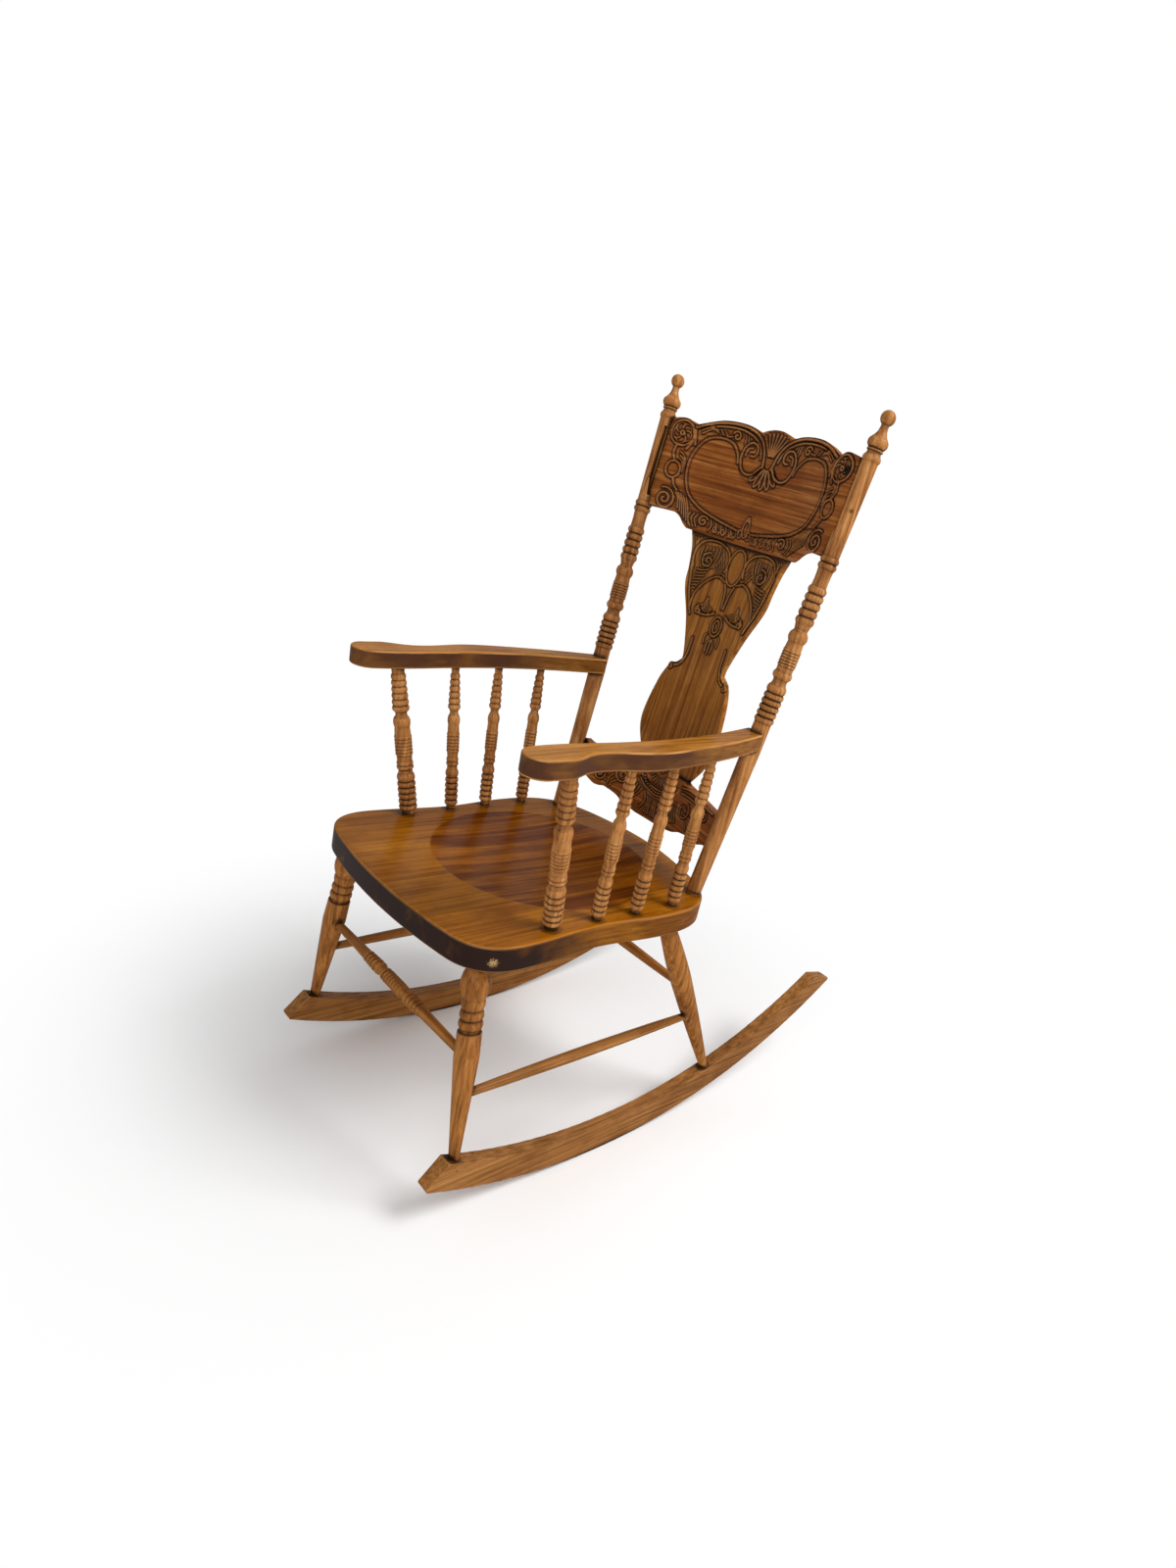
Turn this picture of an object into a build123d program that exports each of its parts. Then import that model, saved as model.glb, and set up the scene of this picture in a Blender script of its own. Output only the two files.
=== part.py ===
from build123d import *
import os
from math import atan2, cos, degrees, hypot, radians, sin, sqrt

# An armed rocking chair with a pressed, bowed back, in millimetres.
# Each piece is drawn in the seat frame: X to the sitter's left, Y to the back and Z up,
# with Z = 0 on the flat rim of the seat's top. At the end the whole chair is laid back to the
# angle at which its weight lies straight below the centre of its rockers' curve, and put on
# the floor, Z = 0.

LEFT = 1
RIGHT = -1
SIDES = {"left": LEFT, "right": RIGHT}

# Fits
JOINT_GAP = 0.1           # glue line round a tenon in its socket
SOCKET_SPARE = 0.5        # room left below a tenon's end
COLLAR_REACH = 12.0       # how far a socket's cutter stands out of the wood
NAIL_GAP = 0.05

# Seat: boards glued edge to edge, dished on top
SEAT_THICK = 36.0
SEAT_FRONT = -231.0       # middle of the front edge
SEAT_FRONT_BOW = 13.0     # how far the front edge's ends fall back
SEAT_BACK = 256.0         # middle of the back edge
SEAT_CORNER = (211.0, -140.0)
SEAT_WAIST = (204.0, -5.0)
SEAT_HIP = (215.0, 112.0)
SEAT_BACK_CORNER = (118.0, 238.0)
SEAT_CORNER_ROUND = 62.0
SEAT_BACK_ROUND = (22.0, 84.0)
SEAT_TOP_ROUND = 4.0
SEAT_BOTTOM_ROUND = 2.5
SEAT_BOARDS = 4
BOARD_WIDTH = 106.0
DISH_RADIUS = 168.0       # rim of the dish
DISH_DEPTH = 7.0
DISH_Y = 36.0

# Rockers: a flat board sawn to a curve
ROCKER_X = 209.5          # middle of the rocker's thickness
ROCKER_THICK = 23.3
ROCKER_HIGH = 42.5
ROCKER_R = 869.0          # underside
ROCKER_LOW = (90.2, -407.8)    # lowest point of the underside
ROCKER_CENTRE = (ROCKER_LOW[0], ROCKER_LOW[1] + ROCKER_R)
ROCKER_FRONT_DEG = -21.9
ROCKER_BACK_DEG = 37.2
ROCKER_NOSE_CUT = 16.0    # slant of the front end, along the curve
ROCKER_TAIL_CUT = 36.0
ROCKER_NOSE_ROUND = 15.0  # top corner of each end
ROCKER_TAIL_ROUND = 22.0
ROCKER_TIP_ROUND = 4.0    # bottom corners
ROCKER_EDGE_ROUND = 1.5


def rocker_top(y):
    """Height of the rockers' top face."""
    return ROCKER_CENTRE[1] - sqrt((ROCKER_R - ROCKER_HIGH) ** 2 - (y - ROCKER_CENTRE[0]) ** 2)


# Legs: the axis runs from the seat's underside to a seat cut in the rocker's top face
FRONT_LEG_TOP = (169.2, -179.2, -SEAT_THICK)
REAR_LEG_TOP = (180.0, 141.0, -SEAT_THICK)
FRONT_FOOT_Y = -189.5
REAR_FOOT_Y = 303.0
FRONT_FOOT_SINK = 3.0     # depth of the foot's middle below the top face
REAR_FOOT_SINK = 0.1
FRONT_LEG_FOOT = (ROCKER_X, FRONT_FOOT_Y, rocker_top(FRONT_FOOT_Y) - FRONT_FOOT_SINK)
REAR_LEG_FOOT = (ROCKER_X, REAR_FOOT_Y, rocker_top(REAR_FOOT_Y) - REAR_FOOT_SINK)
LEG_TENON_R = 9.5
LEG_TENON = 17.0          # depth in the seat
FOOT_TENON_R = 6.2
FOOT_TENON = 17.0         # depth in the rocker
LEG_R = 16.6              # widest point of the lower taper
LEG_FOOT_R = 7.4
FRONT_NECK_R = 11.0       # where the leg leaves the seat
REAR_NECK_R = 12.2
COLLAR_HIGH = 8.0         # straight length of a leg next to the seat and the rocker

# Stretchers: height of each axis
FRONT_STRETCHER_Z = -171.0
REAR_STRETCHER_Z = -163.0
SIDE_STRETCHER_FRONT_Z = -224.0
SIDE_STRETCHER_REAR_Z = -221.5
STRETCHER_R = 8.6         # a plain stretcher's middle
STRETCHER_END_R = 6.0     # no shoulder: this end runs straight into the leg
STRETCHER_TENON = 9.0     # depth past the leg's surface
STRETCHER_CLEAR = 3.0     # length in front of the leg before the swelling starts
FRONT_LEG_STRETCHER_R = 16.5   # a leg's radius where each stretcher meets it
REAR_LEG_STRETCHER_R = 16.6
FRONT_LEG_SIDE_R = 13.5
REAR_LEG_SIDE_R = 14.2

# Back: posts leaned back and spread; heights along the back are measured up the post
POST_BASE = (172.5, 196.0)
POST_SPREAD = 35.6        # how much further apart each post is at the ball
BALL_LEAN = 90.8          # how much further back the ball is than the post's foot
BALL_Z = 720.3
POST_TENON = 26.0
POST_TENON_R = 9.0
POST_FOOT_R = 11.6
POST_ARM_R = 13.8         # plain part that the arm is notched round
POST_SHAFT_R = 11.6       # plain part that holds the crest rail
BALL_R = 10.6
BALL_NECK_R = 5.6
BOW_R = 395.0             # the rails and the splat follow this curve
BOW_DEPTH = 46.0          # deepest point of the bow behind the posts' axes
CREST_THICK = 19.0
CREST_TENON_THICK = 8.0
CREST_END_LOW = 531.0
CREST_END_HIGH = 669.0
CREST_LOW = 515.0
CREST_TOP = 691.0         # crowns left and right of the dome
CREST_FLAT_W = 110.0      # half widths: the straight lower edge,
CREST_STEP_W = 143.0      # the step up to the ends,
CREST_EAR_W = 148.0       # the corner discs,
CREST_CROWN_W = 75.0      # the crowns
CREST_DOME_W = 32.0       # and the dome in the middle
CREST_DOME_RISE = 1.5     # dome above the crowns
CREST_NOTCH_DROP = 7.0    # notches below them
CREST_EAR_DROP = 21.5
LOWER_RAIL_THICK = 19.0
LOWER_END_LOW = 74.0
LOWER_END_HIGH = 127.0
LOWER_RAIL_TOP = 138.0
LOWER_RAIL_LOW = 48.0
RAIL_TENON_MARGIN = 14.0  # shoulder above and below a rail's tenon
RAIL_TENON = 7.0          # depth past the post's surface
RAIL_TENON_ROOT = 9.0     # length that stays in the rail
SPLAT_THICK = 9.0
SPLAT_SET_BACK = 3.0      # behind the middle of the rails' thickness
SPLAT_TONGUE = 10.0
TONGUE_SHOULDER = 8.0     # at each edge of the splat
TONGUE_STEP = 1.0         # at each face
SPLAT_TOP_W = 105.0       # half widths, from top to bottom
SPLAT_WAIST_W = 47.0
SPLAT_BELLY_W = 86.0
SPLAT_BOTTOM_W = 54.0
SPLAT_WAIST_S = 326.0
SPLAT_BELLY_S = 208.0

# Arms: flat boards on a slope, notched round the posts
ARM_UNDER_Z = 231.0       # underside above the arm post
ARM_SLOPE = 0.03
ARM_THICK = 26.0
ARM_ROUND = 3.0
ARM_END = 3.0             # how far the arm runs past the post's axis
ARM_END_X = 181.5
ARM_END_WIDE = 33.0
# Plan of the left arm, Y from the arm post
ARM_GRIP = [(183.0, -48.0), (206.0, -70.0), (231.0, -46.0)]
ARM_SWELL = (232.0, -14.0)
ARM_WAIST = (219.0, 33.0)
ARM_ELBOW = [(232.0, 110.0), (230.0, 180.0)]
ARM_INNER = [(186.0, 230.0), (187.0, 60.0)]

# Arm posts and spindles: foot on the seat and head under the arm
ARM_POST_FOOT = (185.9, -87.3)
ARM_POST_HEAD = (207.5, -128.0)
SPINDLE_FEET = [(188.6, -12.3), (193.6, 54.5), (194.4, 127.7)]
SPINDLE_HEADS = [(210.0, -31.7), (209.0, 45.8), (203.0, 123.1)]
ARM_POST_R = 13.4         # the lower beads
ARM_POST_TOP = 0.80       # the top bead's share of that
SPINDLE_R = 10.2
SPINDLE_TOP = 0.72
STICK_FOOT = 0.70         # plain foot's share of the lower beads
STICK_HEAD = 0.90         # plain head's share of the top bead
ARM_TENON = 12.0
SEAT_TENON = 13.0
ARM_POST_TENON_R = 7.5
SPINDLE_TENON_R = 4.5

# Turning patterns, in heights along each piece. Three numbers are a station: height, radius and
# the crown of an arc that leads to it. Six are a row of beads: from, to, count, first and last
# crown, and groove.
BEAD_GROOVE = 2.2
FRONT_LEG_PATTERN = [
    (8.0, 11.4, None), (52.0, 14.6, 19.2), (54.0, 94.0, 3, 15.4, 15.8, 2.4),
    (97.0, 13.2, None), (99.0, 15.8, None), (134.0, LEG_R, None),
]
REAR_LEG_FULLEST = 0.36   # share of its length down from the seat
REAR_LEG_R = 17.3
REAR_LEG_UPPER_R = 16.0   # crowns of the two long arcs
REAR_LEG_LOWER_R = 13.4
POST_PATTERN = [
    (240.0, POST_ARM_R, None), (285.0, 13.0, None), (285.0, 331.0, 5, 15.0, 15.2, 2.6),
    (344.0, 11.6, 14.8), (352.5, 11.0, 10.6), (352.5, 364.5, 1, 14.6, 14.6, 2.4),
    (371.5, 12.2, None), (371.5, 398.0, 6, 13.6, 13.6, 0.9), (409.0, 11.8, None),
    (409.0, 424.0, 1, 14.4, 14.4, 2.2), (430.0, 10.6, 10.2), (436.0, 11.8, None),
    (436.0, 492.0, 5, 14.0, 13.8, 2.6), (517.0, 11.4, 10.8), (517.0, 535.0, 2, 13.8, 13.8, 2.2),
    (539.0, POST_SHAFT_R, None), (668.0, POST_SHAFT_R, None), (668.0, 677.0, 1, 13.2, 13.2, 1.8),
    (682.0, 10.0, 10.2), (682.0, 686.0, 1, 11.8, 11.8, 1.4), (700.0, 11.6, 14.6), (714.0, BALL_NECK_R, 7.2),
]
# Half of the front stretcher, in distances from its middle, outwards
STRETCHER_BARREL = (20.0, 6, 9.8, 0.9)     # half length, beads, crown and groove
STRETCHER_RING = (28.0, 9.4, 1.6)          # outer end, crown and groove
STRETCHER_BEADS = (46.0, 78.0, 4, 9.8, 8.8, 1.4)
STRETCHER_NECK = (34.0, 7.4, 9.6)          # distance, radius and crown of the arc beside it
STRETCHER_TAPER_R = 7.6

# Fasteners
NAIL_R = 1.4
SCREW_R = 2.2
SCREW_HEAD_R = 4.5
SCREW_HEAD = 1.6
SCREW_HEAD_DEEP = 4.0     # the head's seat below the back of the post
SCREW_REACH = 32.0        # point of the screw, in front of the post's axis
NAIL_LONG = 18.0


def point_on(start, end, z):
    """The point at height z on the line from start to end."""
    t = (z - start[2]) / (end[2] - start[2])
    return tuple(a + t * (b - a) for a, b in zip(start, end))


def step(start, end, distance):
    """The point a distance along the line from start to end."""
    length = sqrt(sum((b - a) ** 2 for a, b in zip(start, end)))
    return tuple(a + distance / length * (b - a) for a, b in zip(start, end))


def span(start, end):
    return sqrt(sum((b - a) ** 2 for a, b in zip(start, end)))


def mirrored(point, side):
    return (side * point[0],) + tuple(point[1:])


def frame_along(start, end):
    """Location whose Z axis runs from start to end."""
    direction = Vector(*end) - Vector(*start)
    return Plane(origin=start, z_dir=direction).location


def turned(stations):
    """A piece turned on a lathe about Z. A station is (height, radius, crown): the profile runs
    to it straight, or in a curve whose middle has the crown's radius. The curve is an arc, or a
    parabola where an arc would be so shallow that its centre lay beyond the axis."""
    z_low = stations[0][0]
    z_high = stations[-1][0]
    edges = [Line((0, 0, z_low), (stations[0][1], 0, z_low))]
    for (z0, r0, _), (z1, r1, crown) in zip(stations, stations[1:]):
        if crown is None:
            edges.append(Line((r0, 0, z0), (r1, 0, z1)))
            continue
        middle = (z0 + z1) / 2
        sag = crown - (r0 + r1) / 2
        if 8 * abs(sag) * crown > (z1 - z0) ** 2:
            edges.append(ThreePointArc((r0, 0, z0), (crown, 0, middle), (r1, 0, z1)))
        else:
            edges.append(Bezier((r0, 0, z0), (crown + sag, 0, middle), (r1, 0, z1)))
    edges.append(Line((stations[-1][1], 0, z_high), (0, 0, z_high)))
    edges.append(Line((0, 0, z_high), (0, 0, z_low)))
    return revolve(make_face(edges), Axis.Z)


def beads(z0, z1, count, crown0, crown1, groove=BEAD_GROOVE):
    """A row of round beads from z0 to z1, their crowns going from one radius to another."""
    row = []
    pitch = (z1 - z0) / count
    for i in range(count):
        crown = crown0 + (crown1 - crown0) * i / max(count - 1, 1)
        row.append((z0 + (i + 1) * pitch, crown - groove, crown))
    return row


def profile(pattern):
    """The stations of a turning pattern, with its rows of beads worked out."""
    rows = []
    for item in pattern:
        rows += beads(*item) if len(item) == 6 else [item]
    return rows


def spindle_pattern(z0, length, r, top_share):
    """The pattern shared by arm posts and spindles: plain foot, five heavy beads, shoulder, ring,
    finely grooved barrel, ring, neck, six beads that narrow to the top, plain head."""
    def at(share):
        return z0 + share * length
    foot = r * STICK_FOOT
    top = r * top_share
    rows = [(at(0.0), foot, None), (at(0.035), foot, None)]
    rows += beads(at(0.035), at(0.235), 5, r, r)
    rows += [(at(0.29), r * 0.80, r * 0.98), (at(0.315), r * 0.74, None)]
    rows += beads(at(0.315), at(0.375), 2, r * 0.92, r * 0.90, 1.2)
    rows += [(at(0.41), r * 0.84, None)]
    rows += beads(at(0.41), at(0.545), 6, r * 0.94, r * 0.94, 0.8)
    rows += [(at(0.60), r * 0.82, None)]
    rows += beads(at(0.60), at(0.66), 1, r * 0.92, r * 0.92, 1.2)
    rows += [(at(0.70), r * 0.68, r * 0.62)]
    rows += beads(at(0.70), at(0.945), 6, r * 0.92, top, 1.8)
    rows += [(at(1.0), top * STICK_HEAD, None)]
    return rows


def on_seat(point):
    return (point[0], point[1], 0.0)


def under_arm(point):
    """The point on the arm's underside above a plan position."""
    return (point[0], point[1], ARM_UNDER_Z + ARM_SLOPE * (point[1] - ARM_POST_HEAD[1]))


def peg(start, end, radius, back, ahead):
    """A cylinder about the line from start to end, from back of start to ahead of it."""
    return frame_along(start, end) * Pos(0, 0, (ahead - back) / 2) * Cylinder(radius, back + ahead)


def socket(start, end, tenon_r, tenon, collar_r):
    """The hole for a tenon that lies back of start, with the shallow seat that its collar needs
    because the piece stands at a slant."""
    hole = peg(start, end, tenon_r + JOINT_GAP, tenon + SOCKET_SPARE, COLLAR_REACH)
    return hole + peg(start, end, collar_r + JOINT_GAP, 0, COLLAR_REACH)


# ---- Frames of the back ----
POST_FOOT = (POST_BASE[0], POST_BASE[1], 0.0)
POST_BALL = (POST_BASE[0] + POST_SPREAD, POST_BASE[1] + BALL_LEAN, BALL_Z)
POST_LENGTH = span(POST_FOOT, POST_BALL)
BACK_LEAN = atan2(BALL_LEAN, BALL_Z)
BACK_PLANE = Plane(
    origin=(0, POST_BASE[1], 0),
    x_dir=(1, 0, 0),
    z_dir=(0, -cos(BACK_LEAN), sin(BACK_LEAN)),
)
BACK_HIGH = hypot(BALL_LEAN, BALL_Z)
SPREAD_RATE = POST_SPREAD / BACK_HIGH


def post_x(height):
    """Distance of the post's axis from the middle, at a height up the back."""
    return POST_BASE[0] + SPREAD_RATE * height


def bowed(half, thick, low, high, set_back=0.0):
    """A slab that follows the back's bow, between two heights and half widths."""
    ring = Circle(BOW_R + set_back + thick / 2) - Circle(BOW_R + set_back - thick / 2)
    slab = Pos(0, (low + high) / 2, 0) * Rot(90, 0, 0) * extrude(ring, (high - low) / 2, both=True)
    slab = Pos(0, 0, BOW_R - BOW_DEPTH) * slab
    reach = BOW_DEPTH + thick + CREST_THICK
    return slab & Pos(0, (low + high) / 2, 0) * Box(2 * half, high - low, 2 * reach)


def board(outline, thick, set_back=0.0):
    """A bowed board with an outline drawn on the back's plane."""
    box = outline.bounding_box()
    slab = bowed(box.max.X + 1, thick, box.min.Y - 1, box.max.Y + 1, set_back)
    return slab & extrude(outline, BOW_DEPTH + thick + CREST_THICK, both=True)


def symmetric(half):
    """A closed outline from its right half, listed from the middle's bottom to its top."""
    face = make_face(half)
    return face + mirror(face, about=Plane.YZ)


# ---- Seat ----
def seat_outline():
    front_end = (SEAT_CORNER[0] - SEAT_CORNER_ROUND, SEAT_FRONT + SEAT_FRONT_BOW)
    front_slope = (1, 2 * SEAT_FRONT_BOW / front_end[0])
    hip_end = (SEAT_HIP[0] - SEAT_BACK_ROUND[0], SEAT_HIP[1] + SEAT_BACK_ROUND[1])
    half = [
        Spline([(0, SEAT_FRONT), front_end], tangents=[(1, 0), front_slope]),
        Spline([front_end, SEAT_CORNER], tangents=[front_slope, (0, 1)]),
        Spline([SEAT_CORNER, SEAT_WAIST, SEAT_HIP], tangents=[(0, 1), (0, 1)]),
        Spline([SEAT_HIP, hip_end, SEAT_BACK_CORNER], tangents=[(0, 1), (-1, 0.26)]),
        Spline([SEAT_BACK_CORNER, (0, SEAT_BACK)], tangents=[(-1, 0.26), (-1, 0)]),
        Line((0, SEAT_BACK), (0, SEAT_FRONT)),
    ]
    return symmetric(half)


def seat_blank():
    seat = extrude(seat_outline(), -SEAT_THICK)
    seat = fillet(seat.edges().group_by(Axis.Z)[-1], SEAT_TOP_ROUND)
    seat = fillet(seat.edges().group_by(Axis.Z)[0], SEAT_BOTTOM_ROUND)
    ball_r = (DISH_RADIUS ** 2 + DISH_DEPTH ** 2) / (2 * DISH_DEPTH)
    dish = Pos(0, DISH_Y, ball_r - DISH_DEPTH) * Sphere(ball_r)
    return seat - dish


# ---- Turned pieces ----
def front_leg():
    """Tenon, neck, vase, three rings and a long taper, from the seat down."""
    length = span(FRONT_LEG_TOP, FRONT_LEG_FOOT)
    rows = [(-LEG_TENON, LEG_TENON_R, None), (0, LEG_TENON_R, None), (0.01, FRONT_NECK_R, None)]
    rows += profile(FRONT_LEG_PATTERN)
    rows += [(length - COLLAR_HIGH, LEG_FOOT_R, None), (length, LEG_FOOT_R, None)]
    rows += [(length + 0.01, FOOT_TENON_R, None), (length + FOOT_TENON, FOOT_TENON_R, None)]
    return turned(rows)


def rear_leg():
    """A plain leg, fullest in its upper third."""
    length = span(REAR_LEG_TOP, REAR_LEG_FOOT)
    rows = [(-LEG_TENON, LEG_TENON_R, None), (0, LEG_TENON_R, None), (0.01, REAR_NECK_R, None)]
    rows += [(COLLAR_HIGH, REAR_NECK_R, None)]
    rows += [(length * REAR_LEG_FULLEST, REAR_LEG_R, REAR_LEG_UPPER_R)]
    rows += [(length - COLLAR_HIGH, LEG_FOOT_R, REAR_LEG_LOWER_R), (length, LEG_FOOT_R, None)]
    rows += [(length + 0.01, FOOT_TENON_R, None), (length + FOOT_TENON, FOOT_TENON_R, None)]
    return turned(rows)


def back_post():
    """Foot tenon, plain taper, the long turned middle, plain shaft for the rail, finial."""
    rows = [(-POST_TENON, POST_TENON_R, None), (0, POST_TENON_R, None), (0.01, POST_FOOT_R, None)]
    rows += profile(POST_PATTERN)
    neck_z = POST_LENGTH - sqrt(BALL_R ** 2 - BALL_NECK_R ** 2)
    rows += [(neck_z, BALL_NECK_R, None)]
    stem = turned(rows)
    return stem + Pos(0, 0, POST_LENGTH) * Sphere(BALL_R)


def stick(foot, head, radius, tenon_r, top_share):
    """An arm post or spindle with its tenons, drawn up from its foot."""
    length = span(foot, head)
    pattern = spindle_pattern(0.0, length, radius, top_share)
    low = [(-SEAT_TENON, tenon_r, None), (-0.01, tenon_r, None)]
    high = [(length + 0.01, tenon_r, None), (length + ARM_TENON, tenon_r, None)]
    return turned(low + pattern + high)


def turned_stretcher(length):
    """The front stretcher: tapers at both ends and a beaded middle."""
    half = length / 2
    end = STRETCHER_TENON + STRETCHER_CLEAR
    barrel, barrel_beads, barrel_r, barrel_groove = STRETCHER_BARREL
    ring, ring_r, ring_groove = STRETCHER_RING
    inner, outer, count, inner_r, outer_r, groove = STRETCHER_BEADS
    neck, neck_r, neck_crown = STRETCHER_NECK
    rows = [(0, STRETCHER_END_R, None), (end, STRETCHER_END_R, None)]
    rows += [(half - outer, STRETCHER_TAPER_R, None)]
    rows += beads(half - outer, half - inner, count, outer_r, inner_r, groove)
    rows += [(half - neck, neck_r, neck_crown), (half - ring, neck_r, None)]
    rows += beads(half - ring, half - barrel, 1, ring_r, ring_r, ring_groove)
    rows += beads(half - barrel, half + barrel, barrel_beads, barrel_r, barrel_r, barrel_groove)
    rows += beads(half + barrel, half + ring, 1, ring_r, ring_r, ring_groove)
    rows += [(half + neck, neck_r, None), (half + inner, inner_r - groove, neck_crown)]
    rows += beads(half + inner, half + outer, count, inner_r, outer_r, groove)
    rows += [(length - end, STRETCHER_END_R, None), (length, STRETCHER_END_R, None)]
    return turned(rows)


def plain_stretcher(length):
    """A plain dowel, a little fuller in the middle."""
    end = STRETCHER_TENON + STRETCHER_CLEAR
    rows = [(0, STRETCHER_END_R, None), (end, STRETCHER_END_R, None)]
    rows += [(length - end, STRETCHER_END_R, STRETCHER_R), (length, STRETCHER_END_R, None)]
    return turned(rows)


def stretcher_between(start, end, start_r, end_r, shape):
    """A stretcher whose ends stop a set depth inside the two legs it joins, and its sockets."""
    near = step(start, end, start_r - STRETCHER_TENON)
    far = step(end, start, end_r - STRETCHER_TENON)
    length = span(near, far)
    solid = frame_along(near, far) * shape(length)
    sockets = peg(near, far, STRETCHER_END_R + JOINT_GAP, SOCKET_SPARE, length + SOCKET_SPARE)
    return solid, sockets


# ---- Rockers ----
def rocker():
    """A board sawn to two arcs, with slanted ends and rounded corners."""
    centre_y, centre_z = ROCKER_CENTRE
    top_r = ROCKER_R - ROCKER_HIGH

    def at(radius, angle):
        return (centre_y + radius * sin(angle), centre_z - radius * cos(angle))
    front = radians(ROCKER_FRONT_DEG)
    back = radians(ROCKER_BACK_DEG)
    front_top = front + ROCKER_NOSE_CUT / top_r
    back_top = back - ROCKER_TAIL_CUT / top_r
    middle = (front + back) / 2
    edges = [
        ThreePointArc(at(ROCKER_R, front), at(ROCKER_R, middle), at(ROCKER_R, back)),
        Line(at(ROCKER_R, back), at(top_r, back_top)),
        ThreePointArc(at(top_r, back_top), at(top_r, middle), at(top_r, front_top)),
        Line(at(top_r, front_top), at(ROCKER_R, front)),
    ]
    solid = extrude(Plane.YZ * make_face(edges), ROCKER_THICK / 2, both=True)
    corners = solid.edges().filter_by(Axis.X)
    outwards = corners.sort_by(lambda e: hypot(e.center().Y - centre_y, e.center().Z - centre_z))
    nose, tail = outwards[:2].sort_by(Axis.Y)
    solid = fillet(nose, ROCKER_NOSE_ROUND)
    solid = fillet(tail, ROCKER_TAIL_ROUND)
    solid = fillet(outwards[2:], ROCKER_TIP_ROUND)
    rims = solid.edges().filter_by(GeomType.CIRCLE).filter_by(lambda e: e.radius > top_r - 1)
    return fillet(rims, ROCKER_EDGE_ROUND)


# ---- Rails and splat ----
def crest_outline():
    """Straight below, stepped up at the ends, with corner discs, two crowns and a dome on top."""
    end = post_x((CREST_END_LOW + CREST_END_HIGH) / 2)
    step_in = (CREST_STEP_W, CREST_END_LOW + 4)
    ear = (CREST_EAR_W, CREST_TOP - CREST_EAR_DROP)
    ear_notch = (CREST_EAR_W - 5, CREST_TOP - CREST_EAR_DROP + 2)
    notch = (CREST_DOME_W, CREST_TOP - CREST_NOTCH_DROP)
    dome = (0, CREST_TOP + CREST_DOME_RISE)
    half = [
        Line((0, CREST_LOW), (CREST_FLAT_W, CREST_LOW)),
        Spline([(CREST_FLAT_W, CREST_LOW), (CREST_FLAT_W + 8, CREST_LOW + 5),
                (CREST_FLAT_W + 19, CREST_LOW + 15), step_in], tangents=[(0.6, 0.8), (1, 0)]),
        Spline([step_in, (end, CREST_END_LOW)], tangents=[(1, 0), (1, -0.1)]),
        Line((end, CREST_END_LOW), (end, CREST_END_HIGH)),
        ThreePointArc((end, CREST_END_HIGH), (CREST_EAR_W + 17, ear[1] + 6), ear),
        Line(ear, ear_notch),
        Spline([ear_notch, (CREST_CROWN_W + 45, CREST_TOP - 9), (CREST_CROWN_W, CREST_TOP), notch],
               tangents=[(-0.6, 0.9), (-0.9, -0.4)]),
        TangentArc(dome, notch, tangent=(1, 0)),
        Line(dome, (0, CREST_LOW)),
    ]
    return symmetric(half)


def lower_rail_outline():
    end = post_x((LOWER_END_LOW + LOWER_END_HIGH) / 2)
    half = [
        Line((0, LOWER_RAIL_LOW), (30, LOWER_RAIL_LOW)),
        Spline([(30, LOWER_RAIL_LOW), (62, LOWER_RAIL_LOW + 5), (80, LOWER_RAIL_LOW + 12),
                (106, LOWER_RAIL_LOW + 16)], tangents=[(1, 0), (1, 0)]),
        ThreePointArc((106, LOWER_RAIL_LOW + 16), (128, LOWER_RAIL_LOW + 13), (148, LOWER_RAIL_LOW + 21)),
        Line((148, LOWER_RAIL_LOW + 21), (end, LOWER_END_LOW)),
        Line((end, LOWER_END_LOW), (end, LOWER_END_HIGH)),
        Spline([(end, LOWER_END_HIGH), (150, LOWER_END_HIGH - 3), (SPLAT_BOTTOM_W + 10, LOWER_RAIL_TOP - 4),
                (SPLAT_BOTTOM_W, LOWER_RAIL_TOP)], tangents=[(-1, -0.1), (-1, 0.4)]),
        Line((SPLAT_BOTTOM_W, LOWER_RAIL_TOP), (0, LOWER_RAIL_TOP)),
        Line((0, LOWER_RAIL_TOP), (0, LOWER_RAIL_LOW)),
    ]
    return symmetric(half)


def splat_outline():
    """A vase with small scroll ears above its belly."""
    top = CREST_LOW
    waist = SPLAT_WAIST_S
    half = [
        Line((0, LOWER_RAIL_TOP), (SPLAT_BOTTOM_W, LOWER_RAIL_TOP)),
        Spline([(SPLAT_BOTTOM_W, LOWER_RAIL_TOP), (SPLAT_BELLY_W - 10, SPLAT_BELLY_S - 38),
                (SPLAT_BELLY_W, SPLAT_BELLY_S), (SPLAT_BELLY_W - 8, SPLAT_BELLY_S + 62),
                (SPLAT_WAIST_W + 21, waist - 27)], tangents=[(0.7, 1), (-0.35, 1)]),
        ThreePointArc((SPLAT_WAIST_W + 21, waist - 27), (SPLAT_WAIST_W + 19, waist - 20),
                      (SPLAT_WAIST_W + 11, waist - 18)),
        ThreePointArc((SPLAT_WAIST_W + 11, waist - 18), (SPLAT_WAIST_W + 3, waist - 12),
                      (SPLAT_WAIST_W, waist)),
        Spline([(SPLAT_WAIST_W, waist), (SPLAT_TOP_W - 41, top - 135), (SPLAT_TOP_W - 19, top - 85),
                (SPLAT_TOP_W - 15, top - 55), (SPLAT_TOP_W - 9, top - 24), (SPLAT_TOP_W, top)],
               tangents=[(0, 1), (0.7, 1)]),
        Line((SPLAT_TOP_W, top), (0, top)),
        Line((0, top), (0, LOWER_RAIL_TOP)),
    ]
    return symmetric(half)


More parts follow.
